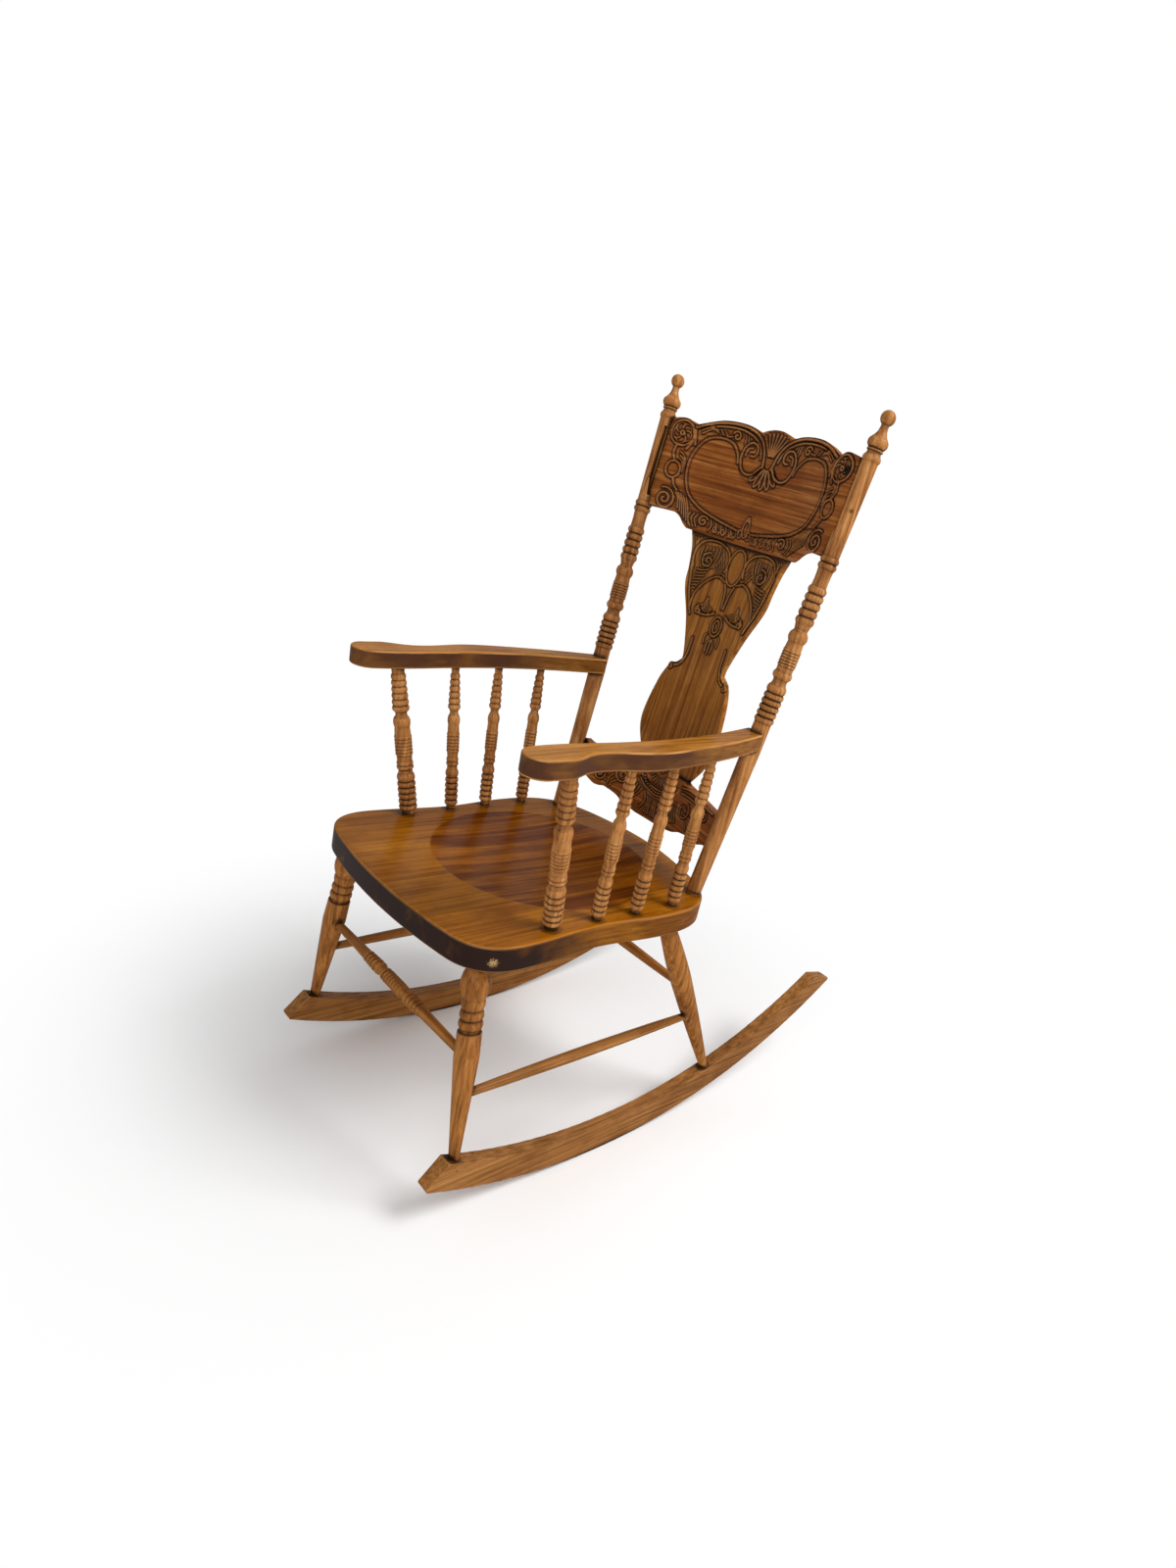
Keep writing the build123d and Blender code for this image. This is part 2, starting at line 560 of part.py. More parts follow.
def tongue(half, low, high, gap):
    """The splat's tongue in a rail, or with a gap the groove that takes it."""
    return bowed(half + gap, SPLAT_THICK - 2 * TONGUE_STEP + 2 * gap, low, high, SPLAT_SET_BACK)


def rail_tenon(side, low, high, gap):
    """A rail's tenon in a post, or with a gap the mortise that takes it."""
    inner = post_x((low + high) / 2) - POST_SHAFT_R - RAIL_TENON_ROOT
    outer = post_x((low + high) / 2) - POST_SHAFT_R + RAIL_TENON + gap
    margin = RAIL_TENON_MARGIN - gap
    slab = bowed(outer, CREST_TENON_THICK + 2 * gap, low + margin, high - margin)
    keep = Pos(side * (inner + outer) / 2, (low + high) / 2, 0)
    keep *= Box(outer - inner, high - low, 4 * BOW_DEPTH)
    return slab & keep


# ---- Arms ----
ARM_PLANE = Plane(
    origin=under_arm((0.0, ARM_POST_HEAD[1])),
    x_dir=(1, 0, 0),
    z_dir=(0, -ARM_SLOPE, 1),
)


def arm_outline():
    """The left arm in plan, with Y from the arm post: a round hand grip, a waist and a long taper."""
    post_y = POST_BASE[1] + BALL_LEAN * ARM_UNDER_Z / BALL_Z
    back = post_y - ARM_POST_HEAD[1] + ARM_END
    grip_in, grip_tip, grip_out = ARM_GRIP
    nose = ThreePointArc(grip_in, grip_tip, grip_out)
    out_tangent = (nose % 1).X, (nose % 1).Y
    in_tangent = (nose % 0).X, (nose % 0).Y
    end_out = (ARM_END_X + ARM_END_WIDE / 2, back)
    end_in = (ARM_END_X - ARM_END_WIDE / 2, back)
    edges = [
        nose,
        Spline([grip_out, ARM_SWELL, ARM_WAIST], tangents=[out_tangent, (0, 1)]),
        Spline([ARM_WAIST] + ARM_ELBOW + [end_out], tangents=[(0, 1), (-0.25, 1)]),
        Line(end_out, end_in),
        Spline([end_in] + ARM_INNER + [grip_in], tangents=[(0.2, -1), in_tangent]),
    ]
    return make_face(edges)


def arm_board():
    solid = ARM_PLANE * extrude(arm_outline(), ARM_THICK)
    by_height = solid.faces().sort_by(Axis.Z)
    rims = ShapeList(by_height[-1].edges() + by_height[0].edges())
    return fillet(rims.filter_by(lambda e: e.length > ARM_END_WIDE + 1), ARM_ROUND)


# ---- Assembly in the seat frame ----
pieces = {}
seat_holes = []


def add(name, solid):
    pieces[name] = solid


def build_leg(name, top, foot, shape, collar_r, rail):
    """One leg, its socket in the seat, and the rocker with the leg's socket cut in it."""
    add(name, frame_along(top, foot) * shape())
    seat_holes.append(socket(top, foot, LEG_TENON_R, LEG_TENON, collar_r))
    return rail - socket(foot, top, FOOT_TENON_R, FOOT_TENON, LEG_FOOT_R)


def build_arm(label, side, post_foot, post_ball):
    """One arm with the sticks that carry it, notched round the back post."""
    arm = arm_board() if side == LEFT else mirror(arm_board(), about=Plane.YZ)
    sticks = [("arm_post_" + label, ARM_POST_FOOT, ARM_POST_HEAD, ARM_POST_R, ARM_POST_TENON_R, ARM_POST_TOP)]
    for i, (foot, head) in enumerate(zip(SPINDLE_FEET, SPINDLE_HEADS)):
        name = "arm_spindle_%s_%d" % (label, i + 1)
        sticks.append((name, foot, head, SPINDLE_R, SPINDLE_TENON_R, SPINDLE_TOP))
    for name, foot, head, radius, tenon_r, top_share in sticks:
        low = mirrored(on_seat(foot), side)
        high = mirrored(under_arm(head), side)
        add(name, frame_along(low, high) * stick(low, high, radius, tenon_r, top_share))
        seat_holes.append(socket(low, high, tenon_r, SEAT_TENON, radius * STICK_FOOT))
        arm -= socket(high, low, tenon_r, ARM_TENON, radius * top_share * STICK_HEAD)
    add("arm_" + label, arm - peg(post_foot, post_ball, POST_ARM_R + JOINT_GAP, 0, POST_LENGTH / 2))


def build_side(label, side):
    rail = Pos(side * ROCKER_X, 0, 0) * rocker()
    feet = (
        ("front_leg_", FRONT_LEG_TOP, FRONT_LEG_FOOT, front_leg, FRONT_NECK_R),
        ("rear_leg_", REAR_LEG_TOP, REAR_LEG_FOOT, rear_leg, REAR_NECK_R),
    )
    for name, top, foot, shape, collar_r in feet:
        rail = build_leg(name + label, mirrored(top, side), mirrored(foot, side), shape, collar_r, rail)
    add("rocker_" + label, rail)
    post_foot = mirrored(POST_FOOT, side)
    post_ball = mirrored(POST_BALL, side)
    add("back_post_" + label, frame_along(post_foot, post_ball) * back_post())
    seat_holes.append(socket(post_foot, post_ball, POST_TENON_R, POST_TENON, POST_FOOT_R))
    build_arm(label, side, post_foot, post_ball)


for label, side in SIDES.items():
    build_side(label, side)

# Seat boards
whole_seat = seat_blank()
for hole in seat_holes:
    whole_seat -= hole
for i in range(SEAT_BOARDS):
    middle = (i - (SEAT_BOARDS - 1) / 2) * BOARD_WIDTH
    width = BOARD_WIDTH * (2 if i in (0, SEAT_BOARDS - 1) else 1)
    shift = BOARD_WIDTH / 2 * (-1 if i == 0 else 1 if i == SEAT_BOARDS - 1 else 0)
    slab = Pos(middle + shift, 0, -SEAT_THICK / 2) * Box(width, 4 * SEAT_BACK, 2 * SEAT_THICK)
    add("seat_board_%d" % (i + 1), whole_seat & slab)


# Stretchers
front_l = point_on(FRONT_LEG_TOP, FRONT_LEG_FOOT, FRONT_STRETCHER_Z)
rear_l = point_on(REAR_LEG_TOP, REAR_LEG_FOOT, REAR_STRETCHER_Z)
side_f = point_on(FRONT_LEG_TOP, FRONT_LEG_FOOT, SIDE_STRETCHER_FRONT_Z)
side_r = point_on(REAR_LEG_TOP, REAR_LEG_FOOT, SIDE_STRETCHER_REAR_Z)
runs = [
    ("front_stretcher", mirrored(front_l, RIGHT), front_l, FRONT_LEG_STRETCHER_R, FRONT_LEG_STRETCHER_R,
     turned_stretcher, ("front_leg_right", "front_leg_left")),
    ("rear_stretcher", mirrored(rear_l, RIGHT), rear_l, REAR_LEG_STRETCHER_R, REAR_LEG_STRETCHER_R,
     plain_stretcher, ("rear_leg_right", "rear_leg_left")),
]
for label, side in SIDES.items():
    runs.append(("side_stretcher_" + label, mirrored(side_f, side), mirrored(side_r, side),
                 FRONT_LEG_SIDE_R, REAR_LEG_SIDE_R, plain_stretcher,
                 ("front_leg_" + label, "rear_leg_" + label)))
for name, start, end, start_r, end_r, shape, legs in runs:
    solid, sockets = stretcher_between(start, end, start_r, end_r, shape)
    for leg in legs:
        pieces[leg] -= sockets
    add(name, solid)

# Back boards
crest = BACK_PLANE * board(crest_outline(), CREST_THICK)
lower = BACK_PLANE * board(lower_rail_outline(), LOWER_RAIL_THICK)
splat = board(splat_outline(), SPLAT_THICK, SPLAT_SET_BACK)
top_half = SPLAT_TOP_W - TONGUE_SHOULDER
low_half = SPLAT_BOTTOM_W - TONGUE_SHOULDER
top_end = CREST_LOW + SPLAT_TONGUE
low_end = LOWER_RAIL_TOP - SPLAT_TONGUE
splat += tongue(top_half, CREST_LOW, top_end, 0)
splat += tongue(low_half, low_end, LOWER_RAIL_TOP, 0)
crest -= BACK_PLANE * tongue(top_half, CREST_LOW, top_end + SOCKET_SPARE, JOINT_GAP)
lower -= BACK_PLANE * tongue(low_half, low_end - SOCKET_SPARE, LOWER_RAIL_TOP, JOINT_GAP)
for label, side in SIDES.items():
    post = pieces["back_post_" + label]
    for low, high in ((CREST_END_LOW, CREST_END_HIGH), (LOWER_END_LOW, LOWER_END_HIGH)):
        mortise = BACK_PLANE * rail_tenon(side, low, high, JOINT_GAP)
        tenon = BACK_PLANE * rail_tenon(side, low, high, 0)
        if low == CREST_END_LOW:
            crest = crest - post + tenon
        else:
            lower = lower - post + tenon
        post = post - mortise
    pieces["back_post_" + label] = post
add("crest_rail", crest)
add("lower_back_rail", lower)
add("splat", BACK_PLANE * splat)

# ---- Fasteners ----
def rocker_nail(top, foot, side):
    """A nail from the rocker's outer face through the leg's foot tenon, and where it goes."""
    centre = step(foot, top, -FOOT_TENON / 2)
    outside = (side * (ROCKER_X + ROCKER_THICK / 2), centre[1], centre[2])
    inside = (outside[0] - side * NAIL_LONG, centre[1], centre[2])
    return peg(outside, inside, NAIL_R, 0, NAIL_LONG), peg(outside, inside, NAIL_R + NAIL_GAP, 1, NAIL_LONG)


def arm_screw(side):
    """A screw through the back post into the arm's end, its head let into the post."""
    z = ARM_UNDER_Z + ARM_THICK / 2 + ARM_SLOPE * (POST_BASE[1] - ARM_POST_HEAD[1])
    axis = point_on(mirrored(POST_FOOT, side), mirrored(POST_BALL, side), z)
    back = (axis[0], axis[1] + POST_ARM_R - SCREW_HEAD_DEEP, z)
    ahead = (axis[0], axis[1] - SCREW_REACH, z)
    reach = span(back, ahead)
    screw = peg(back, ahead, SCREW_R, 0, reach) + peg(back, ahead, SCREW_HEAD_R, SCREW_HEAD, 0)
    hole = peg(back, ahead, SCREW_R + NAIL_GAP, 0, reach + SOCKET_SPARE)
    return screw, hole + peg(back, ahead, SCREW_HEAD_R + NAIL_GAP, POST_ARM_R, 0)


nails = []
screws = []
for label, side in SIDES.items():
    for name, top, foot in (
        ("front_leg_", FRONT_LEG_TOP, FRONT_LEG_FOOT),
        ("rear_leg_", REAR_LEG_TOP, REAR_LEG_FOOT),
    ):
        nail, hole = rocker_nail(mirrored(top, side), mirrored(foot, side), side)
        nails.append(nail)
        pieces["rocker_" + label] -= hole
        pieces[name + label] -= hole
    screw, hole = arm_screw(side)
    screws.append(screw)
    pieces["back_post_" + label] -= hole
    pieces["arm_" + label] -= hole
add("rocker_nails", Compound(children=nails))
add("arm_screws", Compound(children=screws))

# ---- Rest pose: lay the chair back until its weight is under the rockers' centre ----
total = sum(solid.volume for solid in pieces.values())
weight_y = sum(solid.volume * solid.center(CenterOf.MASS).Y for solid in pieces.values()) / total
weight_z = sum(solid.volume * solid.center(CenterOf.MASS).Z for solid in pieces.values()) / total
lean = degrees(atan2(weight_y - ROCKER_CENTRE[0], ROCKER_CENTRE[1] - weight_z))
pivot = Pos(0, -ROCKER_CENTRE[0], -ROCKER_CENTRE[1])
laid = {name: Rot(-lean, 0, 0) * pivot * solid for name, solid in pieces.items()}
low_y = min(solid.bounding_box().min.Y for solid in laid.values())
high_y = max(solid.bounding_box().max.Y for solid in laid.values())

os.makedirs("parts", exist_ok=True)
for name, solid in laid.items():
    export_step(Pos(0, -(low_y + high_y) / 2, ROCKER_R) * solid, "parts/%s.step" % name)
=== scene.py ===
# %% [markdown]
# # An armed rocking chair with a pressed back
# The chair's construction is already modelled, piece by piece, and is loaded here as a fixed
# frame in metres. This lesson gives it its looks: stained and varnished wood with grain along
# each piece, dark grooves and worn edges, and the carving pressed into the boards of the back.

# %% Load the frame
import bpy
import math
import numpy as np
from mathutils import Matrix, Vector


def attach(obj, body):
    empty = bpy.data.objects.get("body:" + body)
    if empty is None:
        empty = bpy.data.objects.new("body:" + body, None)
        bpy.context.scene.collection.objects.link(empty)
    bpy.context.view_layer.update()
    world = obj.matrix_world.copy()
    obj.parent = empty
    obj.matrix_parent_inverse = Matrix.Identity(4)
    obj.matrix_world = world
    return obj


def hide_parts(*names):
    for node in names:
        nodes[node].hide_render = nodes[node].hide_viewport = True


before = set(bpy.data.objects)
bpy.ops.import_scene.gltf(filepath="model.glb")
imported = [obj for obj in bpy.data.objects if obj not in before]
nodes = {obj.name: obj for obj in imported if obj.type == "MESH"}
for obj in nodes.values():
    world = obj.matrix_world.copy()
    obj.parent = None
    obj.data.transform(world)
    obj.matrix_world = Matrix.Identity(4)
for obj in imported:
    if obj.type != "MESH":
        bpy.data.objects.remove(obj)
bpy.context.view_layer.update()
bpy.ops.object.select_all(action="DESELECT")

# %% [markdown]
# ## The level frame
# The chair was drawn with its seat level and then tipped forward a little, until its weight lay
# below the centre of its rockers' curve. Places on the chair are easier to give in the level
# frame: X to the sitter's left, Y to the back, Z up from the flat rim of the seat's top, in
# millimetres. One function takes such a place to where it is at rest, in metres.

# %% The level frame
MM = 0.001
REST_TURN = math.radians(0.1565)
ROCKER_CENTRE = Vector((0, 90.2, 461.2))
ROCKER_R = 869.0
FLOOR_MIDDLE = 101.05       # how far the middle of the footprint lies behind that centre
lay = Matrix.Rotation(REST_TURN, 3, "X")


def laid(x, y, z):
    """A place in the level frame, in millimetres, as a place in metres at rest."""
    return (lay @ (Vector((x, y, z)) - ROCKER_CENTRE) + Vector((0, -FLOOR_MIDDLE, ROCKER_R))) * MM


print("seat's middle at rest", tuple(round(v, 4) for v in laid(0, 0, 0)))

# %% [markdown]
# ## Camera
# The camera stands in front of the chair and to its left, half a metre above the seat, near
# enough for a wide lens. It is rolled, so the chair leans across the picture. The small shift
# places the chair in the tall frame.

# %% Camera
CAMERA_PLACE = (969.2, -800.8, 571.5)
CAMERA_AZIMUTH = 38.52
CAMERA_ELEVATION = 18.98
CAMERA_ROLL = 15.35
FOCAL_PIXELS = 918.52
CENTRE_PIXEL = (730.69, 830.90)
PICTURE = (1200, 1600)      # pixels
SENSOR = 36.0
NEAREST = 0.05              # metres from the lens at which the picture begins


def camera_axes(azimuth, elevation, roll):
    """Right, up and back axes of a camera from its three angles."""
    a, e, r = (math.radians(v) for v in (azimuth, elevation, roll))
    back = Vector((math.sin(a) * math.cos(e), -math.cos(a) * math.cos(e), math.sin(e)))
    right = Vector((0, 0, 1)).cross(back).normalized()
    up = back.cross(right)
    rolled_right = math.cos(r) * right + math.sin(r) * up
    rolled_up = -math.sin(r) * right + math.cos(r) * up
    return rolled_right, rolled_up, back


axes = camera_axes(CAMERA_AZIMUTH, CAMERA_ELEVATION, CAMERA_ROLL)
turn = Matrix([lay @ axis for axis in axes]).transposed()
camera_data = bpy.data.cameras.new("camera")
camera = bpy.data.objects.new("camera", camera_data)
bpy.context.scene.collection.objects.link(camera)
camera.matrix_world = Matrix.Translation(laid(*CAMERA_PLACE)) @ turn.to_4x4()
camera_data.sensor_width = SENSOR
camera_data.lens = SENSOR * FOCAL_PIXELS / PICTURE[1]
camera_data.shift_x = (PICTURE[0] / 2 - CENTRE_PIXEL[0]) / PICTURE[1]
camera_data.shift_y = (CENTRE_PIXEL[1] - PICTURE[1] / 2) / PICTURE[1]
camera_data.clip_start = NEAREST
bpy.context.scene.camera = camera
print("lens", round(camera_data.lens, 2), "shift", camera_data.shift_x, camera_data.shift_y)

# %% [markdown]
# ## Helpers for materials
# Colours are written as the hex values a painter would mix, and turned to linear light
# once. One function adds any node with its settings and its links.

# %% Helpers for materials
BLEND = {"data_type": "RGBA", "blend_type": "MIX"}
STAIN = {"data_type": "RGBA", "blend_type": "MULTIPLY"}
FIRST, SECOND = 6, 7        # a Mix node's two colour inputs
MIXED = 2                   # and its colour output
SOFT = {"interpolation_type": "SMOOTHSTEP"}
TIMES = {"operation": "MULTIPLY"}


def linear(code):
    """A hex colour as linear red, green, blue and alpha."""
    parts = [int(code[i:i + 2], 16) / 255 for i in (0, 2, 4)]
    return [c / 12.92 if c <= 0.04045 else ((c + 0.055) / 1.055) ** 2.4 for c in parts] + [1.0]


def add(tree, kind, settings=None, values=None, links=None, stops=()):
    """Adds a node, sets its properties, its sockets' values and its colour stops, and links its
    inputs. A hex code is turned to linear light."""
    node = tree.nodes.new("ShaderNode" + kind)
    for name, value in (settings or {}).items():
        setattr(node, name, value)
    for name, value in (values or {}).items():
        node.inputs[name].default_value = linear(value) if isinstance(value, str) else value
    for name, socket in (links or {}).items():
        tree.links.new(socket, node.inputs[name])
    for i, (place, code) in enumerate(stops):
        if i == len(node.color_ramp.elements):
            node.color_ramp.elements.new(place)
        node.color_ramp.elements[i].position = place
        node.color_ramp.elements[i].color = linear(code)
    return node


def new_material(name):
    """An empty material and its node tree."""
    material = bpy.data.materials.new(name)
    material.use_nodes = True
    material.node_tree.nodes.clear()
    return material, material.node_tree


def dress(material, names):
    """Gives CAD pieces one material in all their slots."""
    for name in names:
        mesh = nodes[name].data
        mesh.materials.clear()
        mesh.materials.append(material)


print("middle grey in linear light", round(linear("808080")[0], 3))

# %% [markdown]
# ## Grain of an open-grained hardwood
# The chair is of a ring-porous hardwood, stained brown. To the eye that is soft streaks that run
# along the piece, short dark pores, and broad patches where the stain took more or less. Three
# noises give them, stretched along the grain by a Mapping node, in real millimetres.

# %% Grain of an open-grained hardwood
X, Y, Z = 0, 1, 2
STREAK = 5.0                # width of a growth streak
STREAK_LONG = 260.0
PORE = 0.8                  # real pores are finer: drawn this coarse so that they show
PORE_LONG = 14.0
PORE_DARK = 0.6
PATCH = 80.0
PATCH_LONG = 128.0
PATCH_DARK = 0.5
PATCH_STAIN = "B9A48C"
APART = (7.3, 3.1, 5.7)     # each piece takes its grain from another part of the noise


def figure(tree, place, wide, long, axis, offset, detail, bowed=False):
    """The wood's figure: noise in grains of a width and a length along one axis, in millimetres.
    On a bowed board it is long in depth too, or the bow would cut across it."""
    scale = [1 / (wide * MM)] * 3
    scale[axis] = 1 / (long * MM)
    if bowed:
        scale[Y] = 3 / (long * MM)
    moved = add(tree, "Mapping", values={"Scale": scale, "Location": [offset * step for step in APART]},
                links={"Vector": place})
    cloud = add(tree, "TexNoise",
                values={"Scale": 1.0, "Detail": detail, "Roughness": 0.6, "Distortion": 0.2},
                links={"Vector": moved.outputs["Vector"]})
    return cloud.outputs["Fac"]


def grain(tree, place, axis, colours, offset, bowed=False):
    """Stained grain along an axis, from a dark, a middle and a light colour."""
    dark, middle, light = colours
    streak = figure(tree, place, STREAK, STREAK_LONG, axis, offset, 5.0, bowed)
    pore = figure(tree, place, PORE, PORE_LONG, axis, offset + 1, 2.0, bowed)
    patch = figure(tree, place, PATCH, PATCH_LONG, axis, offset + 2, 3.0)
    colour = add(tree, "ValToRGB", links={"Fac": streak},
                 stops=[(0.28, dark), (0.50, middle), (0.74, light)])
    pores = add(tree, "MapRange", SOFT, {"From Min": 0.46, "From Max": 0.30, "To Max": PORE_DARK},
                {"Value": pore})
    colour = add(tree, "Mix", BLEND, {SECOND: dark},
                 {"Factor": pores.outputs["Result"], FIRST: colour.outputs["Color"]})
    cloudy = add(tree, "MapRange", SOFT, {"From Min": 0.42, "From Max": 0.62, "To Max": PATCH_DARK},
                 {"Value": patch})
    colour = add(tree, "Mix", STAIN, {SECOND: PATCH_STAIN},
                 {"Factor": cloudy.outputs["Result"], FIRST: colour.outputs[MIXED]})
    return colour.outputs[MIXED], pore, patch


print("streaks", STREAK, "mm wide, pores", PORE, "mm, patches", PATCH, "mm")

# %% [markdown]
# ## Painted shade and wear
# The grooves are painted darker, as painted shade, and corners rub down to paler wood.
# Ambient Occlusion finds the grooves, and turned inside out it finds the corners. The carved
# boards carry an attribute, carving, that is 1 in their grooves and -1 on their ridges: painted
# shade in the grooves, and a painted highlight with the wear on the ridges. A seat board's
# joints aren't worn as its rim is, so the flat boards give the place of their rim.

# %% Painted shade and wear
# dark colour of the painted shade in grooves, and of the knot and the dark spot
DARK_SHADE_AND_STAIN = "170A04"
# paler wood of worn corners and rims, and the painted highlight on carved ridges
RUBBED_AND_HIGHLIGHT = "BE8850"
SAMPLES = 8
GROOVE_REACH = 9 * MM
GROOVE_OPEN = (0.98, 0.78)  # how open a place is where the painted shade begins, and where it is full
# how dark the painted shade in the grooves is
GROOVE_SHADE = 0.92
WIPED_GROOVE_SHADE = 0.5            # weaker painted shade in the grooves and joints of the arms and the seat
# how dark the painted shade in the carving's grooves is
CARVED_SHADE = 0.85
CORNER_REACH = 2.5 * MM
CORNER_OPEN = (0.93, 0.62)
CORNER_WEAR = 0.55
# painted highlight, with their wear, on the carved ridges' crowns
RIDGE_HIGHLIGHT_AND_WEAR = 0.5


def shade_and_wear(tree, colour, patch, carved=False, rim=None):
    """Painted shade in the grooves, rubbed corners and a painted highlight on carved ridges, over a colour.
    A flat board gives how worn its rim is.
    """
    # Ambient Occlusion darkens the grooves: painted shade
    hollow = add(tree, "AmbientOcclusion", {"samples": SAMPLES}, {"Distance": GROOVE_REACH})
    limits = {"From Min": GROOVE_OPEN[0], "From Max": GROOVE_OPEN[1]}
    deep = add(tree, "MapRange", SOFT, {**limits, "To Max": WIPED_GROOVE_SHADE if rim else GROOVE_SHADE},
               {"Value": hollow.outputs["AO"]})
    colour = add(tree, "Mix", BLEND, {SECOND: DARK_SHADE_AND_STAIN}, {"Factor": deep.outputs["Result"], FIRST: colour})
    if carved:
        # the carving mark paints shade into the grooves and onto the ground between close strokes
        mark = add(tree, "Attribute", {"attribute_name": "carving"})
        painted_shade = add(tree, "MapRange", values={"To Max": CARVED_SHADE}, links={"Value": mark.outputs["Fac"]})
        colour = add(tree, "Mix", BLEND, {SECOND: DARK_SHADE_AND_STAIN},
                     {"Factor": painted_shade.outputs["Result"], FIRST: colour.outputs[MIXED]})
        # the ridges' crowns get a painted highlight with their wear
        wear_and_highlight = add(tree, "MapRange", values={"From Min": -0.2, "From Max": -1.0, "To Max": RIDGE_HIGHLIGHT_AND_WEAR},
                    links={"Value": mark.outputs["Fac"]}).outputs["Result"]
    elif rim:
        wear_and_highlight = rim
    else:
        corner = add(tree, "AmbientOcclusion", {"samples": SAMPLES, "inside": True},
                     {"Distance": CORNER_REACH})
        limits = {"From Min": CORNER_OPEN[0], "From Max": CORNER_OPEN[1]}
        wear_and_highlight = add(tree, "MapRange", SOFT, {**limits, "To Max": CORNER_WEAR},
                    {"Value": corner.outputs["AO"]}).outputs["Result"]
    patchy = add(tree, "MapRange", SOFT, {"From Min": 0.42, "From Max": 0.60, "To Min": 0.3},
                 {"Value": patch})
    # worn holds real wear and, on carved ridges, the painted highlight
    worn = add(tree, "Math", TIMES, links={0: wear_and_highlight, 1: patchy.outputs["Result"]})
    colour = add(tree, "Mix", BLEND, {SECOND: RUBBED_AND_HIGHLIGHT},
                 {"Factor": worn.outputs["Value"], FIRST: colour.outputs[MIXED]})
    return colour.outputs[MIXED]


def dark_spot(tree, place, colour, spot):
    """A round dark spot over a colour: its place, the radii where it begins and is full, and how
    dark it is."""
    centre, begins, full, dark = spot
    away = add(tree, "VectorMath", {"operation": "DISTANCE"}, {1: centre}, {0: place})
    share = add(tree, "MapRange", SOFT, {"From Min": begins, "From Max": full, "To Max": dark},
                {"Value": away.outputs["Value"]})
    colour = add(tree, "Mix", BLEND, {SECOND: DARK_SHADE_AND_STAIN}, {"Factor": share.outputs["Result"], FIRST: colour})
    return colour.outputs[MIXED]


# GROOVE_REACH is how far the painted shade reaches into a groove
print("dirt reaches", GROOVE_REACH, "m into a groove, wear", CORNER_REACH, "m round a corner")

# %% [markdown]
# ## Satin varnish
# Old varnish is a thin clear coat that is worn through in places: soft broad highlights over
# matt wood, and pores that still show as fine dents. The coat has the refractive index of any
# varnish, about 1.5, and its low weight stands for how much of it is left. The wood below is
# fully matt, so its own specular level is nil.

# %% Satin varnish
VARNISH_IOR = 1.5
VARNISH_LEFT = 0.16
VARNISH_ROUGH = 0.22
WOOD_ROUGH = (0.5, 0.7)
PORE_DEEP = 0.3 * MM
PORE_BUMP = 0.3


def varnish(tree, colour, pore, patch):
    """Matt wood of a colour, dented by its pores, under what is left of the coat."""
    rough = add(tree, "MapRange", values={"From Min": 0.3, "From Max": 0.7,
                                          "To Min": WOOD_ROUGH[0], "To Max": WOOD_ROUGH[1]},
                links={"Value": patch})
    bump = add(tree, "Bump", values={"Strength": PORE_BUMP, "Distance": PORE_DEEP}, links={"Height": pore})
    shader = add(tree, "BsdfPrincipled",
                 values={"Specular IOR Level": 0.0, "Coat IOR": VARNISH_IOR,
                         "Coat Weight": VARNISH_LEFT, "Coat Roughness": VARNISH_ROUGH},
                 links={"Base Color": colour, "Roughness": rough.outputs["Result"],
                        "Normal": bump.outputs["Normal"], "Coat Normal": bump.outputs["Normal"]})
    add(tree, "OutputMaterial", links={"Surface": shader.outputs["BSDF"]})


print("varnish reflects", round(((VARNISH_IOR - 1) / (VARNISH_IOR + 1)) ** 2, 3), "of the light straight on")

# %% [markdown]
# ## Turned and sawn pieces
# The posts and spindles are a warm orange brown, with the grain along them. The legs are a
# little darker, and so are the front and rear stretchers. The rockers and the side stretchers
# are greyer. One of the left post's knots shows below the crest rail. Each piece has its own
# grain, by its own number.

# %% Turned and sawn pieces
TURNED = ("6E4120", "AA713C", "CC985C")
LEGS = ("5E3614", "97602C", "BA8142")
ROCKER = ("60401A", "905E2E", "AE7A44")
SIDES = ("left", "right")
KNOT = (laid(209.9, 262.7, 595.2), 4.55 * MM, 1.4 * MM, 0.7)     # as dark_spot takes it


def turned_wood(name, axis, colours, offset, knot=None):
    """Varnished wood for a piece that has one finish all over."""
    material, tree = new_material(name)
    place = add(tree, "TexCoord").outputs["Object"]
    colour, pore, patch = grain(tree, place, axis, colours, offset)
    if knot:
        colour = dark_spot(tree, place, colour, knot)
    varnish(tree, shade_and_wear(tree, colour, patch), pore, patch)
    return material


for number, side in enumerate(SIDES):
    knot = KNOT if side == "left" else None
    dress(turned_wood("varnished_post_" + side, Z, TURNED, 3.0 + number, knot), ["back_post_" + side])
    sticks = ["arm_post_" + side] + ["arm_spindle_%s_%d" % (side, i) for i in (1, 2, 3)]
    dress(turned_wood("varnished_spindles_" + side, Z, TURNED, 5.0 + number), sticks)
    legs = ["front_leg_" + side, "rear_leg_" + side]
    dress(turned_wood("varnished_legs_" + side, Z, LEGS, 7.0 + number), legs)
    dress(turned_wood("varnished_rocker_" + side, Y, ROCKER, 9.0 + number), ["rocker_" + side])
    dress(turned_wood("varnished_side_rail_" + side, Y, ROCKER, 13.0 + number), ["side_stretcher_" + side])
dress(turned_wood("varnished_rails", X, LEGS, 15.0), ["front_stretcher", "rear_stretcher"])
print("finishes on turned and sawn pieces", len(bpy.data.materials))

# %% [markdown]
# ## Old finish on upright faces
# Hands and legs rub the tops of the arms and the seat, and their upright faces keep an older,
# darker finish, most of it towards the front. The slope of a face tells the two apart.

# %% Old finish on upright faces
UPRIGHT = (0.72, 0.35)      # how level a face is where the old finish begins, and where it is full
FINISH_FADES = (0.08, 0.05)     # metres behind and in front of its end in which it thins out
FINISH_BEHIND = 0.4


